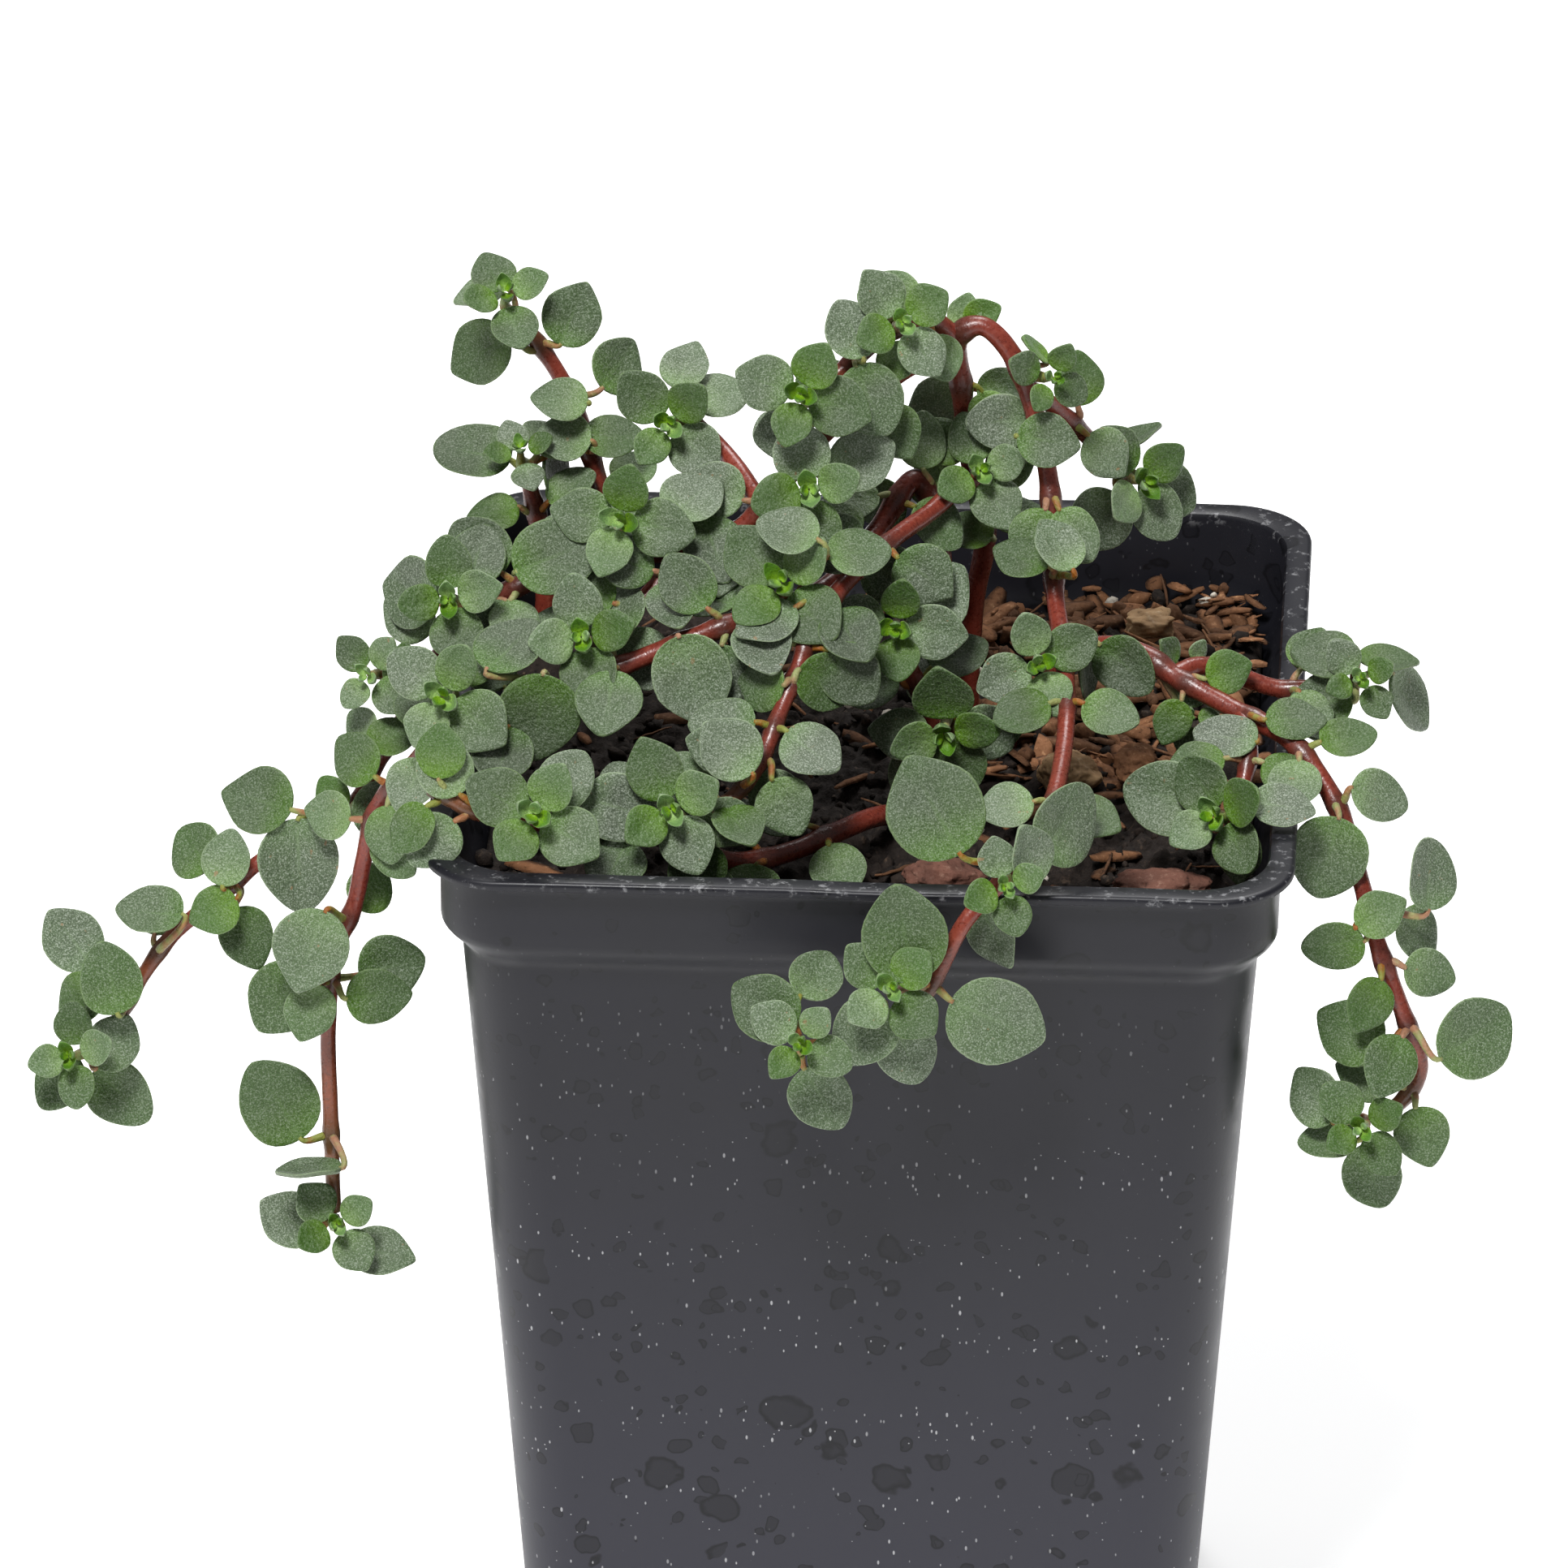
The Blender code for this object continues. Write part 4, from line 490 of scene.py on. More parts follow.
class Nodes:
    """Builds one material's node tree."""

    def __init__(self, name):
        self.mat = bpy.data.materials.new(name)
        self.mat.use_nodes = True
        self.tree = self.mat.node_tree
        self.shader = self.tree.nodes["Principled BSDF"]
        self.place = None

    def add(self, kind, **settings):
        node = self.tree.nodes.new(kind)
        for key, value in settings.items():
            setattr(node, key, value)
        return node

    def link(self, source, target):
        self.tree.links.new(source, target)

    def feed(self, socket, value):
        if hasattr(value, "links"):
            self.link(value, socket)
        else:
            socket.default_value = value

    def coordinates(self, scale=(1, 1, 1)):
        if self.place is None:
            self.place = self.add("ShaderNodeTexCoord").outputs["Object"]
        if scale == (1, 1, 1):
            return self.place
        mapping = self.add("ShaderNodeMapping")
        self.link(self.place, mapping.inputs["Vector"])
        mapping.inputs["Scale"].default_value = scale
        return mapping.outputs["Vector"]

    def noise(self, size, detail=2.0, rough=0.5, distort=0.0, at=None):
        """Noise with features of about that size in millimetres."""
        node = self.add("ShaderNodeTexNoise")
        self.link(at or self.coordinates(), node.inputs["Vector"])
        node.inputs["Scale"].default_value = 1 / (size * MM)
        node.inputs["Detail"].default_value = detail
        node.inputs["Roughness"].default_value = rough
        node.inputs["Distortion"].default_value = distort
        return node.outputs["Fac"]

    def cells(self, size, at=None, feature="F1"):
        node = self.add("ShaderNodeTexVoronoi", feature=feature)
        self.link(at or self.coordinates(), node.inputs["Vector"])
        node.inputs["Scale"].default_value = 1 / (size * MM)
        return node.outputs["Distance"], node.outputs.get("Color")

    def ramp(self, value, low, high, start=0.0, end=1.0):
        node = self.add("ShaderNodeMapRange", interpolation_type="SMOOTHSTEP")
        self.feed(node.inputs["Value"], value)
        for key, number in (("From Min", low), ("From Max", high), ("To Min", start), ("To Max", end)):
            self.feed(node.inputs[key], number)
        return node.outputs["Result"]

    def maths(self, what, first, second=None):
        node = self.add("ShaderNodeMath", operation=what)
        self.feed(node.inputs[0], first)
        if second is not None:
            self.feed(node.inputs[1], second)
        return node.outputs[0]

    def mix(self, share, first, second, how="MIX"):
        node = self.add("ShaderNodeMix", data_type="RGBA", blend_type=how)
        self.feed(node.inputs[0], share)
        for socket, value in ((node.inputs[6], first), (node.inputs[7], second)):
            self.feed(socket, value if hasattr(value, "links") else (*value, 1))
        return node.outputs[2]

    def attribute(self, name):
        node = self.add("ShaderNodeAttribute", attribute_name=name)
        split = self.add("ShaderNodeSeparateXYZ")
        self.link(node.outputs["Vector"], split.inputs[0])
        return split.outputs

    def bump(self, height, depth, before=None, strength=1.0):
        node = self.add("ShaderNodeBump")
        node.inputs["Strength"].default_value = strength
        node.inputs["Distance"].default_value = depth * MM
        self.link(height, node.inputs["Height"])
        if before is not None:
            self.link(before, node.inputs["Normal"])
        return node.outputs["Normal"]

    def finish(self, colour, rough, normal=None, **fixed):
        self.feed(self.shader.inputs["Base Color"], colour if hasattr(colour, "links") else (*colour, 1))
        self.feed(self.shader.inputs["Roughness"], rough)
        if normal is not None:
            self.link(normal, self.shader.inputs["Normal"])
        for key, value in fixed.items():
            self.shader.inputs[key.replace("_", " ")].default_value = value
        return self.mat


def leaf_material():
    """Pebbled grey-green blades: silver flecks that are partly painted highlights, a pale thin margin,
    greener towards the base and in youth, and painted shade on the blades that hang below the rim.
    """
    n = Nodes("pilea leaf")
    across, along, under = n.attribute("blade")
    youth, chance, stalk = n.attribute("tone")
    edge = n.maths("ABSOLUTE", across)
    grain = n.noise(0.12, 3, 0.6)
    patch = n.noise(1.6, 3, 0.6)
    broad = n.noise(4.5, 2)
    base = n.mix(patch, LEAF_DARK, LEAF_GREY)
    base = n.mix(n.ramp(broad, 0.4, 0.66, 0.0, 0.4), base, LEAF_GREEN)
    base = n.mix(n.ramp(along, 0.45, 0.0, 0.0, 0.65), base, LEAF_BASE)
    # Painted shade: blades that hang below the rim are mixed darker and greener, standing in for leaves out
    # of the light.
    split = n.add("ShaderNodeSeparateXYZ")
    n.link(n.coordinates(), split.inputs[0])
    painted_shade_below_rim = n.ramp(split.outputs["Z"], 0.088, 0.072)
    base = n.mix(n.maths("MULTIPLY", painted_shade_below_rim, 0.4), base, LEAF_GREEN)
    base = n.mix(youth, base, n.mix(n.ramp(along, 0.7, 0.1), LEAF_YOUNG, LEAF_BUD))
    # Silver flecks: the leaf's own silver speckle, painted brighter as well so that it stands in for the
    # glints of highlights.
    flecks = n.ramp(grain, 0.50, 0.63)
    share = n.add("ShaderNodeMath", operation="MULTIPLY_ADD")
    n.link(youth, share.inputs[0])
    share.inputs[1].default_value = -0.5
    share.inputs[2].default_value = 0.4
    base = n.mix(n.maths("MULTIPLY", flecks, share.outputs[0]), base, LEAF_SILVER_AND_GLINT)
    pits = n.ramp(grain, 0.48, 0.36, 0.0, 0.6)
    base = n.mix(pits, base, n.mix(youth, LEAF_PIT, LEAF_YOUNG_PIT))
    rib = n.maths("MULTIPLY", n.ramp(edge, 0.09, 0.0), n.ramp(along, 0.85, 0.1, 0.0, 0.5))
    base = n.mix(rib, base, LEAF_RIB)
    margin = n.maths("MAXIMUM", n.ramp(edge, 0.93, 0.985), n.ramp(along, 0.972, 0.992))
    base = n.mix(n.maths("MULTIPLY", margin, 0.55), base, LEAF_MARGIN)
    spots = n.maths("MULTIPLY", n.ramp(n.noise(0.7, 2), 0.7, 0.76, 0.0, 0.7), n.ramp(chance, 0.7, 0.8))
    base = n.mix(spots, base, (0.2, 0.11, 0.035))
    base = n.mix(n.maths("MULTIPLY", under, 0.6), base, LEAF_UNDER)
    base = n.mix(stalk, base, n.mix(n.ramp(n.noise(1.5), 0.4, 0.6), STALK_GREEN, STALK_RED))
    value = n.add("ShaderNodeHueSaturation")
    n.link(n.ramp(chance, 0.0, 1.0, 0.66, 1.22), value.inputs["Value"])
    n.link(n.ramp(chance, 0.25, 0.9, 1.30, 0.86), value.inputs["Saturation"])
    n.link(base, value.inputs["Color"])
    pebbles, _ = n.cells(0.28, feature="SMOOTH_F1")
    normal = n.bump(n.noise(1.3, 2), 0.16, strength=0.6)
    normal = n.bump(pebbles, 0.09, normal, 0.8)
    normal = n.bump(grain, 0.08, normal, 0.9)
    rough = n.ramp(grain, 0.35, 0.65, 0.55, 0.34)
    return n.finish(value.outputs["Color"], rough, normal, Specular_IOR_Level=0.42, Sheen_Weight=0.08,
                    Sheen_Roughness=0.4)


LEAF_DARK = (0.046, 0.062, 0.035)
LEAF_GREY = (0.094, 0.119, 0.077)
LEAF_GREEN = (0.044, 0.092, 0.020)
LEAF_BASE = (0.085, 0.175, 0.035)
# Silver speckle of the leaf, brightened as a painted highlight.
LEAF_SILVER_AND_GLINT = (0.37, 0.41, 0.34)
LEAF_PIT = (0.022, 0.034, 0.016)
LEAF_YOUNG = (0.10, 0.22, 0.035)
LEAF_BUD = (0.21, 0.37, 0.05)
LEAF_YOUNG_PIT = (0.06, 0.13, 0.025)
LEAF_RIB = (0.12, 0.19, 0.075)
LEAF_MARGIN = (0.20, 0.27, 0.14)
LEAF_UNDER = (0.13, 0.17, 0.09)
STALK_GREEN = (0.20, 0.22, 0.06)
STALK_RED = (0.26, 0.11, 0.045)


def stem_material():
    """Glossy brick red, darker at the joints, with fine streaks along the stem."""
    n = Nodes("pilea stem")
    _, joint, green = n.attribute("stem")
    patch = n.noise(2.4, 3, 0.6)
    fleck = n.noise(0.3, 2, 0.6)
    base = n.mix(patch, (0.11, 0.017, 0.010), (0.225, 0.038, 0.022))
    base = n.mix(n.ramp(fleck, 0.56, 0.7, 0.0, 0.5), base, (0.27, 0.07, 0.04))
    base = n.mix(n.ramp(fleck, 0.44, 0.32, 0.0, 0.5), base, (0.07, 0.016, 0.012))
    base = n.mix(n.maths("MULTIPLY", joint, 0.75), base, (0.045, 0.018, 0.013))
    base = n.mix(n.maths("MULTIPLY", green, 0.45), base, (0.14, 0.11, 0.035))
    normal = n.bump(fleck, 0.06, strength=0.7)
    rough = n.ramp(fleck, 0.3, 0.7, 0.24, 0.42)
    return n.finish(base, rough, normal, Specular_IOR_Level=0.4, Coat_Weight=0.12, Coat_Roughness=0.2)


def pot_material():
    """Satin black plastic with pale dust flecks, dried water marks and a scuffed lip, and a painted
    reflection of the floor that lightens it towards the bottom.
    """
    n = Nodes("black plastic")
    split = n.add("ShaderNodeSeparateXYZ")
    n.link(n.coordinates(), split.inputs[0])
    height = split.outputs["Z"]
    cloud = n.noise(14, 4, 0.6)
    base = n.mix(cloud, POT_DARK, POT_LIGHT)
    # Painted reflection: the pot is mixed lighter and bluer towards the bottom, standing in for the pale
    # floor reflected in it.
    low = n.ramp(height, 0.076, 0.012)
    base = n.mix(n.maths("MULTIPLY", low, 0.7), base, POT_FLOOR_REFLECTION)
    warped = n.add("ShaderNodeVectorMath", operation="ADD")
    n.link(n.coordinates(), warped.inputs[0])
    push = n.add("ShaderNodeVectorMath", operation="MULTIPLY")
    colour_noise = n.add("ShaderNodeTexNoise")
    n.link(n.coordinates(), colour_noise.inputs["Vector"])
    colour_noise.inputs["Scale"].default_value = 420
    n.link(colour_noise.outputs["Color"], push.inputs[0])
    push.inputs[1].default_value = (0.0022, 0.0022, 0.0022)
    n.link(push.outputs[0], warped.inputs[1])
    marks = None
    rims = None
    for size, share in WATER_MARKS:
        distance, tint = n.cells(size, at=warped.outputs[0])
        pick = n.add("ShaderNodeSeparateColor")
        n.link(tint, pick.inputs[0])
        reach = n.ramp(pick.outputs[0], share, 1.0, 0.0, 0.42)
        inside = n.maths("SUBTRACT", reach, distance)
        mark = n.ramp(inside, 0.0, 0.05)
        rim = n.maths("MULTIPLY", mark, n.ramp(inside, 0.12, 0.05))
        marks = mark if marks is None else n.maths("MAXIMUM", marks, mark)
        rims = rim if rims is None else n.maths("MAXIMUM", rims, rim)
    base = n.mix(n.maths("MULTIPLY", marks, 0.62), base, (0.007, 0.007, 0.009))
    base = n.mix(n.maths("MULTIPLY", rims, 0.7), base, (0.003, 0.003, 0.004))
    flecks = None
    for size, reach, share, stretch in DUST_LAYERS:
        place = n.coordinates((1, 1, stretch))
        distance, tint = n.cells(size, at=place)
        pick = n.add("ShaderNodeSeparateColor")
        n.link(tint, pick.inputs[0])
        dot = n.ramp(distance, reach, reach * 0.6)
        fleck = n.maths("MULTIPLY", dot, n.ramp(pick.outputs[1], share, share + 0.02))
        flecks = fleck if flecks is None else n.maths("MAXIMUM", flecks, fleck)
    where = n.ramp(n.noise(9, 2), 0.3, 0.6, 0.25, 1.0)
    lower = n.ramp(height, 0.079, 0.045, 0.15, 1.0)
    flecks = n.maths("MULTIPLY", flecks, n.maths("MULTIPLY", where, lower))
    base = n.mix(n.maths("MULTIPLY", flecks, 0.85), base, (0.36, 0.36, 0.37))
    scuff = n.maths("MULTIPLY", n.ramp(n.noise(0.9, 4, 0.7), 0.55, 0.7), n.ramp(height, 0.0826, 0.0838))
    base = n.mix(n.maths("MULTIPLY", scuff, 0.5), base, (0.3, 0.3, 0.31))
    rough = n.mix(n.maths("MULTIPLY", marks, 0.6), n.ramp(cloud, 0.3, 0.7, 0.34, 0.46), (0.3, 0.3, 0.3))
    bw = n.add("ShaderNodeRGBToBW")
    n.link(rough, bw.inputs[0])
    normal = n.bump(n.noise(0.35, 3), 0.012, strength=0.5)
    normal = n.bump(n.noise(18, 2), 0.25, normal, 0.5)
    normal = n.bump(flecks, 0.03, normal, 0.6)
    return n.finish(base, bw.outputs[0], normal, Specular_IOR_Level=0.26)


# Dried water marks: their spacing in millimetres, and the share of places left without one
WATER_MARKS = ((4.4, 0.5), (2.4, 0.5), (1.5, 0.6))

# Dust: spacing in millimetres, a fleck's radius as a share of it, the share left without, and upward stretch
DUST_LAYERS = ((0.5, 0.17, 0.8, 0.5), (0.8, 0.14, 0.72, 0.45), (0.6, 0.12, 0.8, 1.0))

POT_DARK = (0.006, 0.006, 0.008)
POT_LIGHT = (0.014, 0.014, 0.019)
# Painted reflection of the pale floor, mixed into the lower pot.
POT_FLOOR_REFLECTION = (0.034, 0.034, 0.046)


# The soil and the stones: three tones, then the grain's size and the surface's depth in millimetres
GROUND = {
    "peat": ((0.007, 0.005, 0.004), (0.022, 0.014, 0.010), (0.085, 0.055, 0.035), 0.8, 0.3),
    "bark": ((0.07, 0.03, 0.014), (0.22, 0.10, 0.045), (0.36, 0.20, 0.10), 0.5, 0.12),
    "perlite": ((0.45, 0.40, 0.33), (0.62, 0.58, 0.5), (0.75, 0.72, 0.66), 0.4, 0.1),
    "tan grit": ((0.28, 0.16, 0.08), (0.42, 0.28, 0.15), (0.55, 0.42, 0.28), 0.7, 0.12),
    "lava grit": ((0.075, 0.032, 0.022), (0.15, 0.065, 0.045), (0.24, 0.14, 0.10), 0.6, 0.2),
}


def ground_material(name, dark, light, pale, size, depth):
    """Soil, bark and stone: a broken mix of three tones with a coarse surface."""
    n = Nodes(name)
    tone, _, _ = n.attribute("grit")
    patch = n.noise(size * 4, 4, 0.65)
    grain = n.noise(size, 4, 0.7)
    base = n.mix(patch, dark, light)
    base = n.mix(n.ramp(grain, 0.55, 0.75, 0.0, 0.7), base, pale)
    base = n.mix(n.ramp(grain, 0.45, 0.28, 0.0, 0.8), base, tuple(c * 0.35 for c in dark))
    value = n.add("ShaderNodeHueSaturation")
    n.link(n.ramp(tone, 0.0, 1.0, 0.55, 1.5), value.inputs["Value"])
    n.link(base, value.inputs["Color"])
    normal = n.bump(grain, depth, strength=0.9)
    rough = n.ramp(grain, 0.3, 0.7, 0.95, 0.75)
    return n.finish(value.outputs["Color"], rough, normal, Specular_IOR_Level=0.25)


def floor_material():
    n = Nodes("studio floor")
    base = n.mix(n.noise(60, 3), (0.93, 0.93, 0.93), (0.95, 0.95, 0.95))
    n.shader.inputs["Emission Color"].default_value = (1, 1, 1, 1)
    n.shader.inputs["Emission Strength"].default_value = 0.4
    return n.finish(base, n.ramp(n.noise(8, 3), 0.3, 0.7, 0.75, 0.85), Specular_IOR_Level=0.2)


# ---------------------------------------------------------------- mesh helpers

def square_ring(half, corner, z, segments=4, along=1):
    """Points of a square with round corners, seen from above, all at one height."""
    points = []
    for quarter in range(4):
        middle = math.radians(45 + 90 * quarter)
        cx = math.copysign(half - corner, math.cos(middle))
        cy = math.copysign(half - corner, math.sin(middle))
        for step in range(segments + 1):
            angle = math.radians(90 * quarter + 90 * step / segments)
            points.append(Vector((cx + corner * math.cos(angle), cy + corner * math.sin(angle), z)))
        turn = math.radians(90 * (quarter + 1))
        ahead = Vector((-math.sin(turn), math.cos(turn), 0))
        start = points[-1]
        for step in range(1, along):
            points.append(start + ahead * (2 * (half - corner) * step / along))
    return points


def loft(bm, rings, closed=True):
    """Skins rings of equal length, and returns the rings of vertices."""
    made = [[bm.verts.new(point) for point in ring] for ring in rings]
    for low, high in zip(made, made[1:]):
        count = len(low)
        for i in range(count if closed else count - 1):
            j = (i + 1) % count
            bm.faces.new((low[i], low[j], high[j], high[i]))
    return made


def new_piece(name, bm, mat, slot, *nodes, smooth=True):
    """A piece of the visual model from a mesh built in millimetres, standing for the CAD nodes named."""
    bmesh.ops.recalc_face_normals(bm, faces=bm.faces)
    bmesh.ops.scale(bm, vec=(MM, MM, MM), verts=bm.verts)
    mesh = bpy.data.meshes.new(name)
    bm.to_mesh(mesh)
    bm.free()
    mesh.materials.append(mat)
    if smooth:
        mesh.shade_smooth()
    obj = bpy.data.objects.new(name, mesh)
    bpy.context.scene.collection.objects.link(obj)
    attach(obj, "root")
    if nodes:
        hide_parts(*nodes)
    return obj


def body_half(z):
    return BASE_WIDTH / 2 + (BODY_HALF - BASE_WIDTH / 2) * z / BODY_TOP


def corner_at(half):
    return CORNER_RADIUS * half / RIM_HALF


def inner_half(z):
    collar_low = POT_HEIGHT - COLLAR_HEIGHT
    if z >= collar_low:
        return COLLAR_HALF - WALL
    if z <= BODY_TOP:
        return body_half(z) - WALL
    return BODY_HALF - WALL + COLLAR_STEP * (z - BODY_TOP) / COLLAR_ROUNDING


# ---------------------------------------------------------------- pot

def pot_profile():
    """Outside, over the lip, and down the inside: height and half width, with its bends rounded."""
    top = POT_HEIGHT
    collar_low = top - COLLAR_HEIGHT
    foot = BASE_WIDTH / 2
    points = [(0, foot - 1.4), (0.15, foot - 0.7), (0.6, foot - 0.15), (1.3, body_half(1.3))]
    points += [(z, body_half(z)) for z in (6, 16, 28, 40, 52, 62, 70, BODY_TOP - 1.6, BODY_TOP - 0.5)]
    for step in range(11):
        share = step / 10
        ease = share * share * (3 - 2 * share)
        points.append((BODY_TOP + COLLAR_ROUNDING * (0.98 * share - 0.02), BODY_HALF + COLLAR_STEP * ease))
    points += [(z, COLLAR_HALF) for z in (collar_low + 1.0, collar_low + 2.6, top - LIP_HEIGHT - 0.9)]
    points += [(top - LIP_HEIGHT - 0.32, COLLAR_HALF + 0.06), (top - LIP_HEIGHT - 0.08, COLLAR_HALF + 0.3)]
    points += [(top - LIP_HEIGHT, RIM_HALF - 0.25), (top - LIP_HEIGHT + 0.12, RIM_HALF - 0.06)]
    points += [(top - LIP_HEIGHT / 2, RIM_HALF), (top - 0.18, RIM_HALF - 0.04), (top - 0.05, RIM_HALF - 0.16)]
    points += [(top, RIM_HALF - 0.4), (top, COLLAR_HALF - WALL + 0.5), (top - 0.1, COLLAR_HALF - WALL + 0.16)]
    points += [(top - 0.4, COLLAR_HALF - WALL), (collar_low, inner_half(collar_low))]
    points += [(z, inner_half(z)) for z in (BODY_TOP + 1.5, BODY_TOP, 60, 40, 20, FLOOR + 1)]
    points.append((FLOOR, inner_half(FLOOR) - 0.6))
    return points


def build_pot():
    bm = bmesh.new()
    rings = []
    for z, half in pot_profile():
        ring = square_ring(half, corner_at(half), z, 14, 10)
        if z > POT_HEIGHT - 2:
            for point in ring:
                wave = noise.noise(point * 0.09) * 0.22
                point.z += wave * (z - POT_HEIGHT + 2) / 2 - 0.12
        rings.append(ring)
    made = loft(bm, rings)
    bm.faces.new(list(reversed(made[0])))
    bm.faces.new(made[-1])
    pot = new_piece("pot_shell", bm, pot_material(), "pot_plastic", "pot")
    at = BASE_WIDTH / 2 - DRAIN_INSET
    for sx in (-1, 1):
        for sy in (-1, 1):
            drain = bmesh.new()
            bmesh.ops.create_cone(
                drain, cap_ends=True, segments=40, radius1=DRAIN_RADIUS, radius2=DRAIN_RADIUS,
                depth=4 * FLOOR, matrix=Matrix.Translation((sx * at, sy * at, 0)),
            )
            bmesh.ops.scale(drain, vec=(MM, MM, MM), verts=drain.verts)
            mesh = bpy.data.meshes.new("drain")
            drain.to_mesh(mesh)
            drain.free()
            cutter = bpy.data.objects.new("drain", mesh)
            bpy.context.scene.collection.objects.link(cutter)
            cut = pot.modifiers.new("drain", "BOOLEAN")
            cut.operation = "DIFFERENCE"
            cut.solver = "EXACT"
            cut.object = cutter
            apply_modifier(pot, cut)
            bpy.data.objects.remove(cutter)
    pot.data.set_sharp_from_angle(angle=math.radians(40))


def apply_modifier(obj, modifier):
    with bpy.context.temp_override(object=obj, active_object=obj, selected_objects=[obj]):
        bpy.ops.object.modifier_apply(modifier=modifier.name)


# ---------------------------------------------------------------- soil and stones

def soil_height(x, y):
    """The soil's uneven surface, higher at the back right."""
    inside = inner_half(POT_HEIGHT)
    across = x / inside
    back = y / inside
    swell = 0.5 * math.sin(5.1 * across + 1.3) * math.cos(4.3 * back)
    swell += 0.35 * math.sin(9.7 * back + 4.1 * across)
    return POT_HEIGHT - SOIL_DROP + swell + 1.1 * max(0.0, across) * max(0.0, back + 0.3)


def crumbly(x, y):
    """The soil's height with its crumbs, kept from rising far above the CAD soil."""
    spot = Vector((x, y, 0))
    clods = abs(noise.noise(spot * 0.22)) * 1.6
    crumbs = abs(noise.noise(spot * 0.62 + Vector((7, 3, 1)))) * 1.1
    grit = abs(noise.noise(spot * 1.7 + Vector((2, 9, 4)))) * 0.55
    return soil_height(x, y) - 1.0 + clods + crumbs + grit


def rounded(x, y, half, corner):
    """A place in a square moved so that the square's corners come out round."""
    dx = abs(x) - (half - corner)
    dy = abs(y) - (half - corner)
    if dx <= 0 or dy <= 0:
        return x, y
    share = max(dx, dy) / math.hypot(dx, dy)
    return math.copysign(half - corner + dx * share, x), math.copysign(half - corner + dy * share, y)


SOIL_CELLS = 230


def build_soil(mat):
    count = SOIL_CELLS
    edge = POT_HEIGHT - SOIL_DROP - 1.2
    half = inner_half(edge) - GAP
    bm = bmesh.new()
    grit = bm.verts.layers.float_vector.new("grit")
    grid = []
    for i in range(count + 1):
        row = []
        for j in range(count + 1):
            x, y = rounded(half * (2 * i / count - 1), half * (2 * j / count - 1), half, corner_at(half))
            shore = min(1.0, (half - max(abs(x), abs(y))) / 2.5)
            vert = bm.verts.new((x, y, edge + (crumbly(x, y) - edge) * max(0.0, shore) ** 0.5))
            vert[grit] = (0.4 + 0.25 * noise.noise(Vector((x, y, 0)) * 0.15), 0, 0)
            row.append(vert)
        grid.append(row)
    for i in range(count):
        for j in range(count):
            bm.faces.new((grid[i][j], grid[i + 1][j], grid[i + 1][j + 1], grid[i][j + 1]))
    border = [grid[i][0] for i in range(count)] + [grid[count][j] for j in range(count)]
    border += [grid[i][count] for i in range(count, 0, -1)] + [grid[0][j] for j in range(count, 0, -1)]
    ring = border
    for z in (BODY_TOP, FLOOR + GAP):
        share = (inner_half(z) - GAP) / half
        below = [bm.verts.new((v.co.x * share, v.co.y * share, z)) for v in border]
        for vert in below:
            vert[grit] = (0.3, 0, 0)
        for k in range(len(ring)):
            m = (k + 1) % len(ring)
            bm.faces.new((ring[m], ring[k], below[k], below[m]))
        ring = below
    bm.faces.new(ring)
    new_piece("soil_bed", bm, mat, "peat_soil", "soil")


def pebble(bm, layer, spot, size, rng, tone, detail=1):
    """One rough lump, added to a mesh of many."""
    made = bmesh.ops.create_icosphere(bm, subdivisions=detail, radius=0.5)
    angle = rng.uniform(0, 6.28)
    turn = Matrix.Rotation(angle, 3, Vector((rng.uniform(-1, 1), rng.uniform(-1, 1), 1)).normalized())
    seed = Vector((rng.uniform(0, 99), rng.uniform(0, 99), rng.uniform(0, 99)))
    for vert in made["verts"]:
        p = vert.co.copy()
        p *= 1 + 0.55 * noise.noise(p * 2.2 + seed) + 0.25 * noise.noise(p * 6 + seed)
        vert.co = spot + turn @ Vector((p.x * size[0], p.y * size[1], p.z * size[2]))
        vert[layer] = (tone, 0, 0)


def fibre(bm, layer, spot, heading, length, width, rng, tone, rise):
    """One bent splinter of bark or root."""
    ahead = Vector((math.cos(heading), math.sin(heading), rise)).normalized()
    side = Vector((-math.sin(heading), math.cos(heading), rng.uniform(-0.5, 0.5))).normalized()
    up = ahead.cross(side)
    bend = rng.uniform(-0.12, 0.12) * length
    rings = []
    for step in range(7):
        share = step / 6
        centre = spot + ahead * length * (share - 0.5) + side * bend * (share - 0.5) ** 2 * 2
        centre += up * rng.uniform(-0.05, 0.05) * length * 0.3
        taper = width * (0.25 + 0.75 * math.sin(math.pi * (0.12 + 0.76 * share))) / 2
        flat = up * taper * 0.4
        rings.append([centre + side * taper, centre + flat, centre - side * taper, centre - flat])
    made = loft(bm, rings)
    bm.faces.new(made[0])
    bm.faces.new(list(reversed(made[-1])))
    for ring in made:
        for vert in ring:
            vert[layer] = (tone + rng.uniform(-0.1, 0.1), 0, 0)


def scatter(rng, reach=1.0):
    half = (inner_half(POT_HEIGHT) - 1.6) * reach
    x = rng.uniform(-half, half)
    y = rng.uniform(-half, half)
    return rounded(x, y, half, corner_at(half))


CRUMBS = 900
SPLINTERS = 420
FLAKES = 120
PERLITE_GRAINS = 34
LITTER_HALF = 29.0
LITTER_CORNER = 5.6


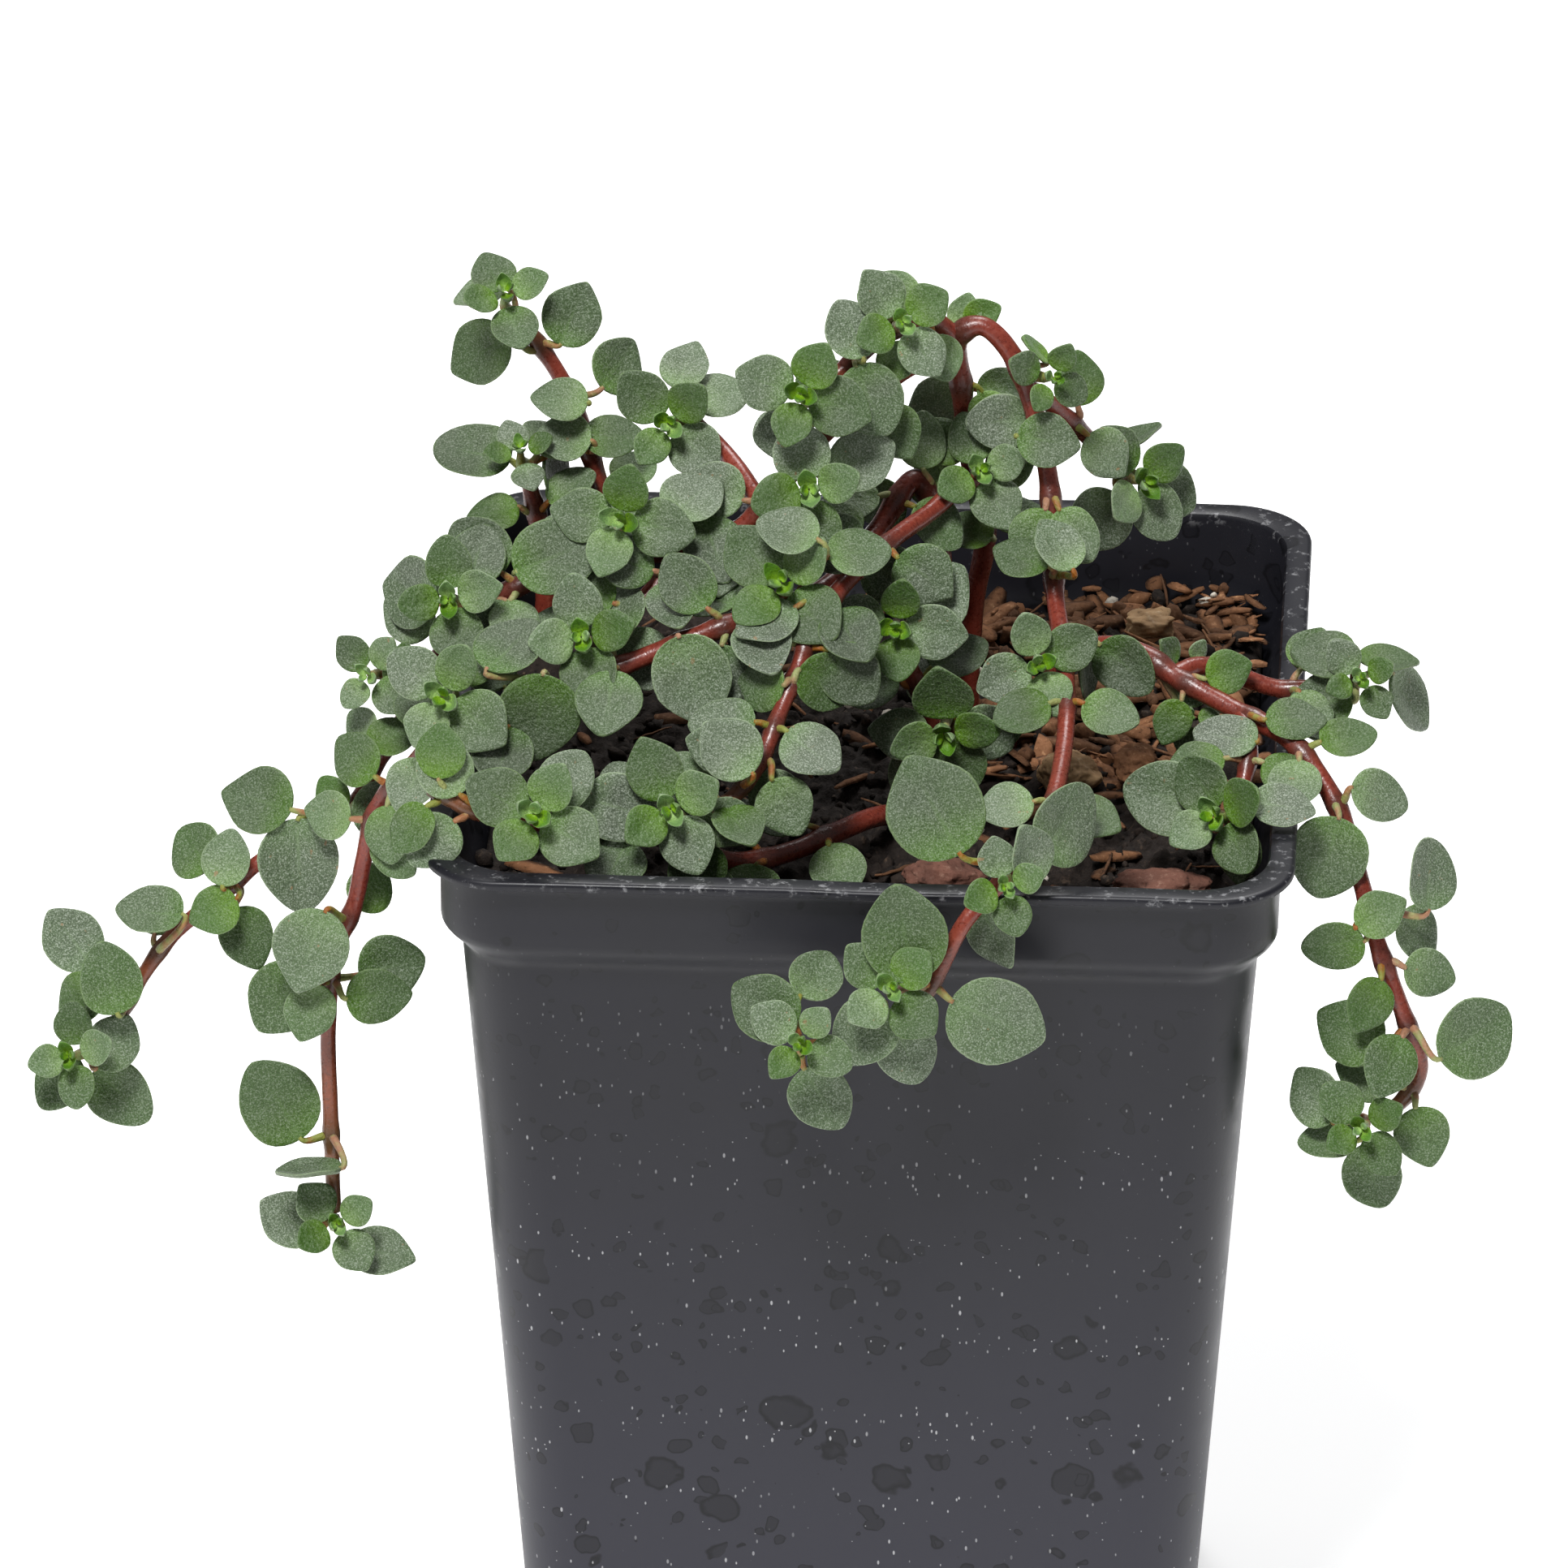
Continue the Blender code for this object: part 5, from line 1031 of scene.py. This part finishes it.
def build_litter(peat, bark, perlite):
    """Crumbs, bark splinters and flakes, and perlite lying on the soil."""
    rng = random.Random("litter")
    bm = bmesh.new()
    layer = bm.verts.layers.float_vector.new("grit")
    for _ in range(CRUMBS):
        x, y = scatter(rng)
        size = rng.choice((0.5, 0.7, 0.9, 1.2, 1.7))
        spot = Vector((x, y, crumbly(x, y) + size * 0.12))
        shape = (size, size * rng.uniform(0.6, 1), size * rng.uniform(0.5, 0.8))
        pebble(bm, layer, spot, shape, rng, rng.uniform(0.1, 0.9))
    new_piece("soil_crumbs", bm, peat, "peat_soil")
    bm = bmesh.new()
    layer = bm.verts.layers.float_vector.new("grit")
    for k in range(SPLINTERS):
        if k % 3:
            x = rng.uniform(6, 29)
            y = rng.uniform(-2, 29)
        else:
            x, y = scatter(rng)
        x, y = rounded(x, y, LITTER_HALF, LITTER_CORNER)
        length = rng.uniform(1.6, 6.0)
        spot = Vector((x, y, crumbly(x, y) + rng.uniform(0.1, 0.9)))
        near = max(0.0, 28.5 - max(abs(x), abs(y)))
        heading = rng.uniform(0, 6.28)
        width = rng.choice((0.3, 0.5, 0.8, 1.3, 1.7))
        tone = rng.uniform(0.1, 0.95)
        fibre(bm, layer, spot, heading, min(length, 1.5 + near), width, rng, tone, rng.uniform(-0.1, 0.45))
    for _ in range(FLAKES):
        x = rng.uniform(4, 28)
        y = rng.uniform(0, 28)
        size = rng.uniform(0.9, 2.8)
        spot = Vector((x, y, crumbly(x, y) + size * 0.16))
        pebble(bm, layer, spot, (size, size * 0.65, size * 0.5), rng, rng.uniform(0.0, 0.75), 2)
    new_piece("bark_splinters", bm, bark, "bark")
    bm = bmesh.new()
    layer = bm.verts.layers.float_vector.new("grit")
    for _ in range(PERLITE_GRAINS):
        x, y = scatter(rng)
        size = rng.uniform(0.45, 1.25)
        spot = Vector((x, y, crumbly(x, y) + size * 0.25))
        pebble(bm, layer, spot, (size, size * 0.8, size * 0.8), rng, rng.uniform(0.3, 0.8), 2)
    new_piece("perlite_bits", bm, perlite, "tan_grit")


def build_stone(name, mat, slot, square=False):
    """A broken stone filling the space its CAD solid holds."""
    low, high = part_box(name)
    low = Vector(low) / MM
    high = Vector(high) / MM
    middle = (low + high) / 2
    size = high - low
    seed = Vector((len(name) * 3.1, middle.x, middle.y))
    bm = bmesh.new()
    layer = bm.verts.layers.float_vector.new("grit")
    bmesh.ops.create_icosphere(bm, subdivisions=5, radius=0.5)
    for vert in bm.verts:
        p = vert.co.copy()
        if square:
            p = p / max(abs(p.x), abs(p.y), abs(p.z)) * 0.5 * 0.5 + p * 0.55
        rough = 0.97 + 0.24 * noise.noise(p * 2.6 + seed)
        rough += 0.12 * noise.noise(p * 6 + seed)
        rough += 0.05 * noise.noise(p * 17 + seed)
        rough -= 0.10 * max(0.0, noise.noise(p * 11 + seed)) * (0 if square else 1)
        vert.co = middle + Vector((p.x * size.x, p.y * size.y, p.z * size.z)) * rough - Vector((0, 0, 0.45))
        vert[layer] = (0.5 + 0.4 * noise.noise(p * 3 + seed), 0, 0)
    new_piece(f"{name}_rough", bm, mat, slot, name)


# ---------------------------------------------------------------- stems

def ground(x, y):
    """The height of the CAD soil's surface under a place, in millimetres."""
    tree = ground.tree
    place, _, _, _ = tree.ray_cast(Vector((x * MM, y * MM, 0.2)), Vector((0, 0, -1)))
    return place.z / MM if place else soil_height(x, y)


soil_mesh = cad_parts["soil"].data
soil_points = [v.co for v in soil_mesh.vertices]
ground.tree = BVHTree.FromPolygons(soil_points, [p.vertices for p in soil_mesh.polygons])


def stem_foot(x, y):
    around = [(x + dx * STEM_RADIUS, y + dy * STEM_RADIUS) for dx in (-1, 0, 1) for dy in (-1, 0, 1)]
    return max(ground(*spot) for spot in around) + GAP + STEM_RADIUS / 2


def placed(route):
    """A route's points in the object's frame, from its millimetres across, back and above the rim."""
    return [Vector((x, y, stem_foot(x, y) if z is None else POT_HEIGHT + z)) for x, y, z in route]


def route_point(points, at):
    """A place on the smooth curve through the points, counted in points."""
    i = min(int(at), len(points) - 2)
    t = at - i
    b, c = points[i], points[i + 1]
    a = points[i - 1] if i else b * 2 - c
    d = points[i + 2] if i + 2 < len(points) else c * 2 - b
    return 0.5 * (2 * b + (c - a) * t + (2 * a - 5 * b + 4 * c - d) * t**2 + (3 * b - a - 3 * c + d) * t**3)


def route_direction(points, at):
    low = max(0.0, at - 0.05)
    high = min(len(points) - 1.0, at + 0.05)
    return (route_point(points, high) - route_point(points, low)).normalized()


def stem_radius(share):
    return STEM_RADIUS + (TIP_RADIUS - STEM_RADIUS) * share**1.5


def frame_across(direction, before=None):
    """Two unit directions across a stem, turned as little as can be from the last ones."""
    side = before if before else (Vector((0, 0, 1)) if abs(direction.z) < 0.8 else Vector((1, 0, 0)))
    side = (side - direction * side.dot(direction)).normalized()
    return side, direction.cross(side)


STEM_SIDES = 14
STEM_STEP = 0.45


def add_tube(bm, layer, points, thin, joints, rooted):
    """A stem swept along its route, swollen where its leaves leave it."""
    length = sum((b - a).length for a, b in zip(points, points[1:]))
    count = max(8, round(length / STEM_STEP))
    last = len(points) - 1
    rings = []
    tones = []
    side = None
    travelled = 0.0
    before = points[0]
    for step in range(count + 1):
        at = last * step / count
        direction = route_direction(points, at)
        side, other = frame_across(direction, side)
        centre = route_point(points, at)
        travelled += (centre - before).length
        before = centre
        swell = max([math.exp(-((centre - joint).length / 0.95) ** 2) for joint in joints] or [0])
        radius = stem_radius(step / count) * thin * (1 + 0.24 * swell)
        radius *= 1 + 0.05 * noise.noise(centre * 0.5)
        if rooted:
            radius *= 1 + 0.35 * math.exp(-travelled / 1.5)
        angles = [2 * math.pi * k / STEM_SIDES for k in range(STEM_SIDES)]
        rings.append([centre + radius * (side * math.cos(a) + other * math.sin(a)) for a in angles])
        young = max(0.0, (step / count - 0.8) / 0.2)
        tones.append((travelled, swell, young))
    if rooted:
        rings.insert(0, [point - Vector((0, 0, 1.6)) for point in rings[0]])
        tones.insert(0, tones[0])
    made = loft(bm, rings)
    for ring, tone in zip(made, tones):
        for vert in ring:
            vert[layer] = tone
    bm.faces.new(list(reversed(made[0])))
    end = bm.verts.new(points[-1] + route_direction(points, last) * TIP_RADIUS * 0.7)
    end[layer] = tones[-1]
    ring = made[-1]
    for i in range(len(ring)):
        bm.faces.new((ring[i], ring[(i + 1) % len(ring)], end))


def build_stems(routes, joints, mat):
    for name in STEMS:
        bm = bmesh.new()
        layer = bm.verts.layers.float_vector.new("stem")
        add_tube(bm, layer, routes[name], 1.0, joints[name], True)
        for branch, (parent, _) in BRANCHES.items():
            if parent == name:
                add_tube(bm, layer, routes[branch], BRANCH_THINNING, joints[branch], False)
        new_piece(f"stem_{name}_grown", bm, mat, "stem", f"stem_{name}")


# ---------------------------------------------------------------- where the leaves are

def leaf_frame(leaf):
    facing = Vector(leaf.facing).normalized()
    tip = Vector(leaf.tip)
    tip = (tip - facing * tip.dot(facing)).normalized()
    return tip, facing


def rosette_frame(rosette):
    axis = Vector(rosette.facing).normalized()
    across, other = frame_across(axis, Vector((0, 0, 1)))
    turn = math.radians(rosette.turn)
    first = across * math.cos(turn) + other * math.sin(turn)
    return axis, first, axis.cross(first)


def swings():
    """Small swings of a stalk, spins of its blade and pushes the way it faces, the smallest first."""
    angles = (0, 8, -8, 16, -16, 26, -26, 38, -38)
    found = []
    steps = [(stretch, push) for stretch in (1.0, 1.12, 1.25, 0.9, 1.4) for push in (0, 0.5, 1.0, 1.6)]
    for stretch, push in steps:
        for about in angles:
            for over in angles:
                for spin in (0, 15, -15, 35, -35):
                    cost = abs(about) + abs(over) + 0.6 * abs(spin) + 90 * abs(stretch - 1) + 30 * push
                    found.append((cost, about, over, spin, stretch, push))
    found.sort(key=lambda entry: entry[0])
    return [entry[1:] for entry in found if entry[0] < 110]


SWINGS = swings()


def swung(item, direction, swing):
    """The item swung about its node and spun in its own plane, its reach made longer or shorter."""
    about, over, spin, stretch, push = swing
    across, _ = frame_across(direction)
    matrix = Matrix.Rotation(math.radians(about), 3, direction)
    matrix = matrix @ Matrix.Rotation(math.radians(over), 3, across)
    facing = matrix @ Vector(item.facing)
    reach = matrix @ Vector(item.reach) * stretch + facing.normalized() * push
    if isinstance(item, Rosette):
        return item._replace(reach=reach, facing=facing, turn=item.turn + spin)
    tip = Matrix.Rotation(math.radians(spin), 3, facing) @ matrix @ Vector(item.tip)
    return item._replace(reach=reach, facing=facing, tip=tip)


def corner_tree(node):
    """The CAD node's corners, for finding how its leaves stand."""
    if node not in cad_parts:
        return None
    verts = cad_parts[node].data.vertices
    tree = KDTree(len(verts))
    for i, vert in enumerate(verts):
        tree.insert(vert.co / MM, i)
    tree.balance()
    return tree


CORNER_NEARNESS = 0.03


def is_corner(tree, point):
    return tree.find(point)[2] < CORNER_NEARNESS


def marks(item, node):
    """Corners that the item has in the CAD model when it stands this way."""
    if isinstance(item, Rosette):
        axis, first, second = rosette_frame(item)
        centre = node + Vector(item.reach)
        top = centre + axis * ROSETTE_LEVEL * 2
        corners = [top + side * ROSETTE_HUB for side in (first + second, second - first)]
        return [centre + axis * ROSETTE_LEVEL * 2.8] + corners
    tip, facing = leaf_frame(item)
    base = node + Vector(item.reach) - tip * item.length / 2
    half = BLADE_HALF_WIDTH * item.length
    middle = base + tip * item.length / 2 - facing * BLADE_DROOP * item.length * 0.25
    side = tip.cross(facing)
    end = base + tip * item.length - facing * BLADE_DROOP * item.length
    return [end, middle + side * half, middle - side * half]


# A rosette's pairs of leaves: share of its size, rise from flat in degrees, youth, and height on its stalk
ROSETTE_WHORLS = ((1.0, 12, 0.12, 0.0), (0.80, 26, 0.3, 0.5), (0.42, 46, 0.9, 1.05), (0.27, 60, 1.0, 1.4))


def boxed(points, faces):
    low = Vector([min(p[i] for p in points) for i in range(3)])
    high = Vector([max(p[i] for p in points) for i in range(3)])
    return BVHTree.FromPolygons(points, faces), low, high


def meet(first, second):
    a, a_low, a_high = first
    b, b_low, b_high = second
    if any(a_low[i] > b_high[i] or b_low[i] > a_high[i] for i in range(3)):
        return False
    return bool(a.overlap(b))


def blade_patch(base, tip, facing, length, points, faces):
    """A coarse sheet where a blade would lie."""
    side = tip.cross(facing)
    first = len(points)
    for u, width in ((0.04, 0.3), (0.25, 0.85), (0.55, 0.98), (0.85, 0.7), (1.02, 0.1)):
        centre = base + tip * u * length - facing * BLADE_DROOP * length * u**2
        for v in (-1, 0, 1):
            rise = -BLADE_CUP * length * width * (1 - v * v)
            points.append(centre + side * v * width * BLADE_HALF_WIDTH * length + facing * rise)
    for row in range(4):
        for column in range(2):
            k = first + row * 3 + column
            faces.append((k, k + 1, k + 4, k + 3))


def patch_of(item, node):
    points = []
    faces = []
    if isinstance(item, Rosette):
        axis, first, second = rosette_frame(item)
        centre = node + Vector(item.reach)
        for level, (share, rise, _, height) in enumerate(ROSETTE_WHORLS[:3]):
            for sign in (1, -1):
                angle = math.radians(rise)
                out = (first if level % 2 == 0 else second) * sign
                tip = out * math.cos(angle) + axis * math.sin(angle)
                facing = axis * math.cos(angle) - out * math.sin(angle)
                base = centre + axis * height + out * ROSETTE_HUB
                blade_patch(base, tip, facing, item.size * share, points, faces)
    else:
        tip, facing = leaf_frame(item)
        base = node + Vector(item.reach) - tip * item.length / 2
        blade_patch(base, tip, facing, item.length, points, faces)
    return boxed(points, faces)


obstacles = []
for cad_name, cad_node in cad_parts.items():
    if cad_name != "pot":
        corners = [v.co / MM for v in cad_node.data.vertices]
        obstacles.append(boxed(corners, [tuple(p.vertices) for p in cad_node.data.polygons]))


def find_room(item, node, direction):
    """The item at its smallest swing that keeps its blades off everything, or None."""
    for swing in SWINGS:
        tried = swung(item, direction, swing)
        shape = patch_of(tried, node)
        if not any(meet(shape, other) for other in obstacles):
            obstacles.append(shape)
            return tried
    return None


def settle(name, spec, routes):
    """The whorl's node, its direction, and its items as they stand in the frame."""
    route, at, items = spec
    points = routes[route]
    last = len(points) - 1
    thin = BRANCH_THINNING if route in BRANCHES else 1.0
    tree = corner_tree(f"leaves_{name}")
    slides = (0, 0.08, -0.08, 0.16, -0.16, 0.25, -0.25, 0.35, -0.35, 0.5, -0.5) if tree else (0,)
    best = None
    for slide in slides:
        here = last if at >= last else min(max(at + slide, 0.3), last - 0.2)
        direction = route_direction(points, here)
        node = route_point(points, here)
        radius = stem_radius(here / last) * thin
        side, other = frame_across(direction)
        outer = radius + GAP + COLLAR_WALL
        if here == last:
            node = node + direction * (GAP + COLLAR_LENGTH / 2)
        else:
            outer = (radius + GAP) / math.cos(math.pi / COLLAR_SIDES) + COLLAR_WALL
        if tree is None:
            best = (12, node, direction)
            break
        hits = 0
        for k in range(COLLAR_SIDES):
            angle = 2 * math.pi * k / COLLAR_SIDES
            spoke = side * math.cos(angle) + other * math.sin(angle)
            hits += is_corner(tree, node + spoke * outer + direction * COLLAR_LENGTH / 2)
            hits += is_corner(tree, node + spoke * outer - direction * COLLAR_LENGTH / 2)
        if best is None or hits > best[0]:
            best = (hits, node, direction)
        if at >= last:
            break
    hits, node, direction = best
    if hits < 6:
        print("collar not found:", name, hits)
    found = []
    for item in items:
        if tree is None:
            roomy = find_room(item, node, direction)
            if roomy:
                found.append(roomy)
            continue
        for swing in SWINGS:
            tried = swung(item, direction, swing)
            if all(is_corner(tree, mark) for mark in marks(tried, node)):
                found.append(tried)
                break
        else:
            print("stands unswung:", name, item)
            found.append(item)
    return node, direction, found


# ---------------------------------------------------------------- leaves

ROWS = 16
COLUMNS = 6
STALK_STEPS = 9
STALK_SIDES = 8


class Foliage:
    """One whorl's mesh, with where each point lies on its blade and how old the blade is."""

    def __init__(self):
        self.bm = bmesh.new()
        self.blade = self.bm.verts.layers.float_vector.new("blade")
        self.tone = self.bm.verts.layers.float_vector.new("tone")

    def vert(self, point, blade, tone):
        made = self.bm.verts.new(point)
        made[self.blade] = blade
        made[self.tone] = tone
        return made


def add_blade(foliage, base, tip, facing, length, youth, rng, cup=BLADE_CUP, droop=BLADE_DROOP, wide=1.0):
    """A thin round-ovate blade: a groove along its midrib, a cupped middle and a slightly waved margin."""
    side = tip.cross(facing)
    half = BLADE_HALF_WIDTH * length * wide * rng.uniform(0.86, 1.0)
    point = rng.uniform(0.1, 0.5)
    skew = rng.uniform(-0.06, 0.06)
    wave = rng.uniform(0.006, 0.026) * length
    phase = rng.uniform(0, 6.28)
    cup = cup * rng.uniform(0.4, 1.2) * length
    curl = rng.uniform(-0.02, 0.05) * length
    thick = (0.30 + 0.02 * length) * (0.8 if youth > 0.6 else 1.0)
    chance = rng.random()
    tone = (youth, chance, 0)
    seed = Vector((rng.uniform(0, 50), 0, 0))
    bm = foliage.bm
    rings = []
    for row in range(1, ROWS):
        theta = math.pi * row / ROWS
        u = (1 - math.cos(theta)) / 2
        pointed = 1 - point * max(0.0, (u - 0.6) / 0.4) ** 1.5
        width = math.sin(theta) * (1 + 0.14 * math.cos(theta)) * pointed
        width *= 1 + 0.025 * math.sin(3 * theta + phase)
        centre = base + tip * u * length - facing * droop * length * u**2
        tops = []
        bottoms = []
        for column in range(-COLUMNS, COLUMNS + 1):
            v = math.sin(math.pi / 2 * column / COLUMNS)
            rise = -cup * width * (1 - v * v)
            rise -= 0.045 * length * math.exp(-((v / 0.2) ** 2)) * (1 - 0.8 * u) * width
            rise += wave * v * v * math.sin(2.2 * math.pi * u + phase + v)
            rise += 0.02 * length * noise.noise(Vector((v * 1.2, u * 2.4, 0)) + seed) * width
            rise += curl * v * v * width
            place = centre + side * (v * half * width + skew * half * math.sin(math.pi * u)) + facing * rise
            plump = thick / 2 * math.sqrt(max(0.0, 1 - abs(v) ** 3)) * min(1.0, 0.35 + 2.2 * math.sin(theta))
            if abs(column) == COLUMNS:
                tops.append(foliage.vert(place, (v, u, 0), tone))
                continue
            tops.append(foliage.vert(place + facing * plump, (v, u, 0), tone))
            bottoms.append(foliage.vert(place - facing * plump, (v, u, 1), tone))
        rings.append(tops + bottoms[::-1])
    for low, high in zip(rings, rings[1:]):
        for i in range(len(low)):
            j = (i + 1) % len(low)
            bm.faces.new((low[i], low[j], high[j], high[i]))
    start = foliage.vert(base, (0, 0, 0), tone)
    finish = foliage.vert(base + tip * length * 1.005 - facing * droop * length, (0, 1, 0), tone)
    for ring, pole in ((rings[0], start), (rings[-1], finish)):
        for i in range(len(ring)):
            bm.faces.new((ring[i], ring[(i + 1) % len(ring)], pole))


def add_stalk(foliage, start, finish, leaving, arriving, thick, thin, youth, rng, kind=1.0):
    """A bent petiole between two places."""
    gap = (finish - start).length
    a = start
    b = start + leaving * gap * 0.4
    c = finish - arriving * gap * 0.35
    d = finish
    chance = rng.uniform(0.4, 0.9)
    rings = []
    side = None
    before = None
    for step in range(STALK_STEPS + 1):
        t = step / STALK_STEPS
        centre = a * (1 - t) ** 3 + b * 3 * t * (1 - t) ** 2 + c * 3 * t * t * (1 - t) + d * t**3
        direction = ((centre - before) if before else (b - a)).normalized()
        before = centre
        side, other = frame_across(direction, side)
        radius = thick + (thin - thick) * t
        ring = []
        for k in range(STALK_SIDES):
            angle = 2 * math.pi * k / STALK_SIDES
            spot = centre + radius * (side * math.cos(angle) + other * math.sin(angle))
            ring.append(foliage.vert(spot, (0, 0.3, 0), (youth, chance, kind)))
        rings.append(ring)
    for low, high in zip(rings, rings[1:]):
        for i in range(STALK_SIDES):
            j = (i + 1) % STALK_SIDES
            foliage.bm.faces.new((low[i], low[j], high[j], high[i]))
    foliage.bm.faces.new(rings[0])
    foliage.bm.faces.new(rings[-1])


def add_leaf(foliage, node, direction, leaf, rng):
    tip, facing = leaf_frame(leaf)
    base = node + Vector(leaf.reach) - tip * leaf.length / 2
    youth = max(0.0, min(0.5, (5.0 - leaf.length) * 0.22)) + rng.uniform(0, 0.12)
    away = base - node
    away = (away - direction * away.dot(direction)).normalized()
    start = node + away * STEM_RADIUS * 0.6
    thick = 0.34 if leaf.length > 4 else 0.28
    finish = base + tip * 0.03 * leaf.length - facing * 0.06
    add_stalk(foliage, start, finish, away, tip, thick, thick * 0.62, 0.3, rng)
    add_blade(foliage, base, tip, facing, leaf.length, youth, rng)


def add_rosette(foliage, node, rosette, rng):
    """A shoot's tip: pairs of leaves, each at right angles to the last, closing into a bright bud."""
    axis, first, second = rosette_frame(rosette)
    centre = node + Vector(rosette.reach)
    away = (centre - node).normalized()
    add_stalk(foliage, node, centre - axis * 0.3, away, axis, 0.55, 0.42, 0.2, rng, 0.75)
    add_stalk(foliage, centre - axis * 0.5, centre + axis * 1.1, axis, axis, 0.42, 0.25, 0.7, rng, 0.5)
    for level, (share, rise, youth, height) in enumerate(ROSETTE_WHORLS):
        outward = first if level % 2 == 0 else second
        for sign in (1, -1):
            angle = math.radians(rise + rng.uniform(-6, 6))
            twist = Matrix.Rotation(math.radians(rng.uniform(-9, 9)), 3, axis)
            out = twist @ outward * sign
            tip = (out * math.cos(angle) + axis * math.sin(angle)).normalized()
            facing = (axis * math.cos(angle) - out * math.sin(angle)).normalized()
            base = centre + axis * (ROSETTE_LEVEL * 0.5 + height)
            size = rosette.size * share * rng.uniform(0.9, 1.06)
            if level < 2:
                base = base + out * ROSETTE_HUB * 0.9 + tip * 0.35
                add_blade(foliage, base, tip, facing, size, youth, rng, wide=1.06)
            else:
                base = base + out * ROSETTE_HUB * 0.2
                add_blade(foliage, base, tip, facing, size, youth, rng, cup=0.22, droop=-0.05, wide=0.8)


def leaf_pair(routes, route, at, turn, length, facing):
    """Two opposite leaves at a stem's joint, as a whorl."""
    direction = route_direction(routes[route], at)
    side, other = frame_across(direction)
    out = side * math.cos(math.radians(turn)) + other * math.sin(math.radians(turn))
    look = Vector(facing).normalized()
    items = []
    for sign in (1, -1):
        tip = out * sign + direction * 0.35
        tip = (tip - look * tip.dot(look)).normalized()
        reach = tip * (1.3 + length / 2) + look * 0.9
        items.append(Leaf(reach, tip, look, length))
    return route, at, items


def build_whorl(name, settled, mat):
    node, direction, items = settled
    rng = random.Random(name)
    foliage = Foliage()
    for item in items:
        if isinstance(item, Rosette):
            add_rosette(foliage, node, item, rng)
        else:
            add_leaf(foliage, node, direction, item, rng)
    if not foliage.bm.verts:
        foliage.bm.free()
        return
    nodes = [f"leaves_{name}"] if f"leaves_{name}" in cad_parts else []
    new_piece(f"foliage_{name}", foliage.bm, mat, "leaf", *nodes)


# ---------------------------------------------------------------- the whole

def build_floor():
    bm = bmesh.new()
    bmesh.ops.create_grid(bm, x_segments=4, y_segments=4, size=3.0)
    mesh = bpy.data.meshes.new("studio_floor")
    bm.to_mesh(mesh)
    bm.free()
    mesh.materials.append(floor_material())
    floor = bpy.data.objects.new("studio_floor", mesh)
    floor.location = (0, 0, CAD_BOX[0][2] - 0.0002)
    bpy.context.scene.collection.objects.link(floor)


def main():
    add_camera()
    add_studio()
    build_floor()
    build_pot()
    peat, bark, perlite, tan, lava = [ground_material(name, *look) for name, look in GROUND.items()]
    build_soil(peat)
    build_litter(peat, bark, perlite)
    build_stone("tan_stone", tan, "tan_grit")
    build_stone("brown_stone", bark, "bark")
    build_stone("bark_chip", tan, "tan_grit", True)
    build_stone("lava_stone_left", lava, "lava_grit")
    build_stone("lava_stone_right", lava, "lava_grit")
    routes = {name: placed(route) for name, route in STEMS.items()}
    for name, (_, route) in BRANCHES.items():
        routes[name] = placed(route)
    leaf = leaf_material()
    joints = {name: [] for name in routes}
    pairs = {f"pair_{k}": leaf_pair(routes, *spec) for k, spec in enumerate(INNER_PAIRS)}
    for name, spec in {**WHORLS, **INNER_WHORLS, **pairs}.items():
        settled = settle(name, spec, routes)
        joints[spec[0]].append(settled[0])
        build_whorl(name, settled, leaf)
    build_stems(routes, joints, stem_material())


main()
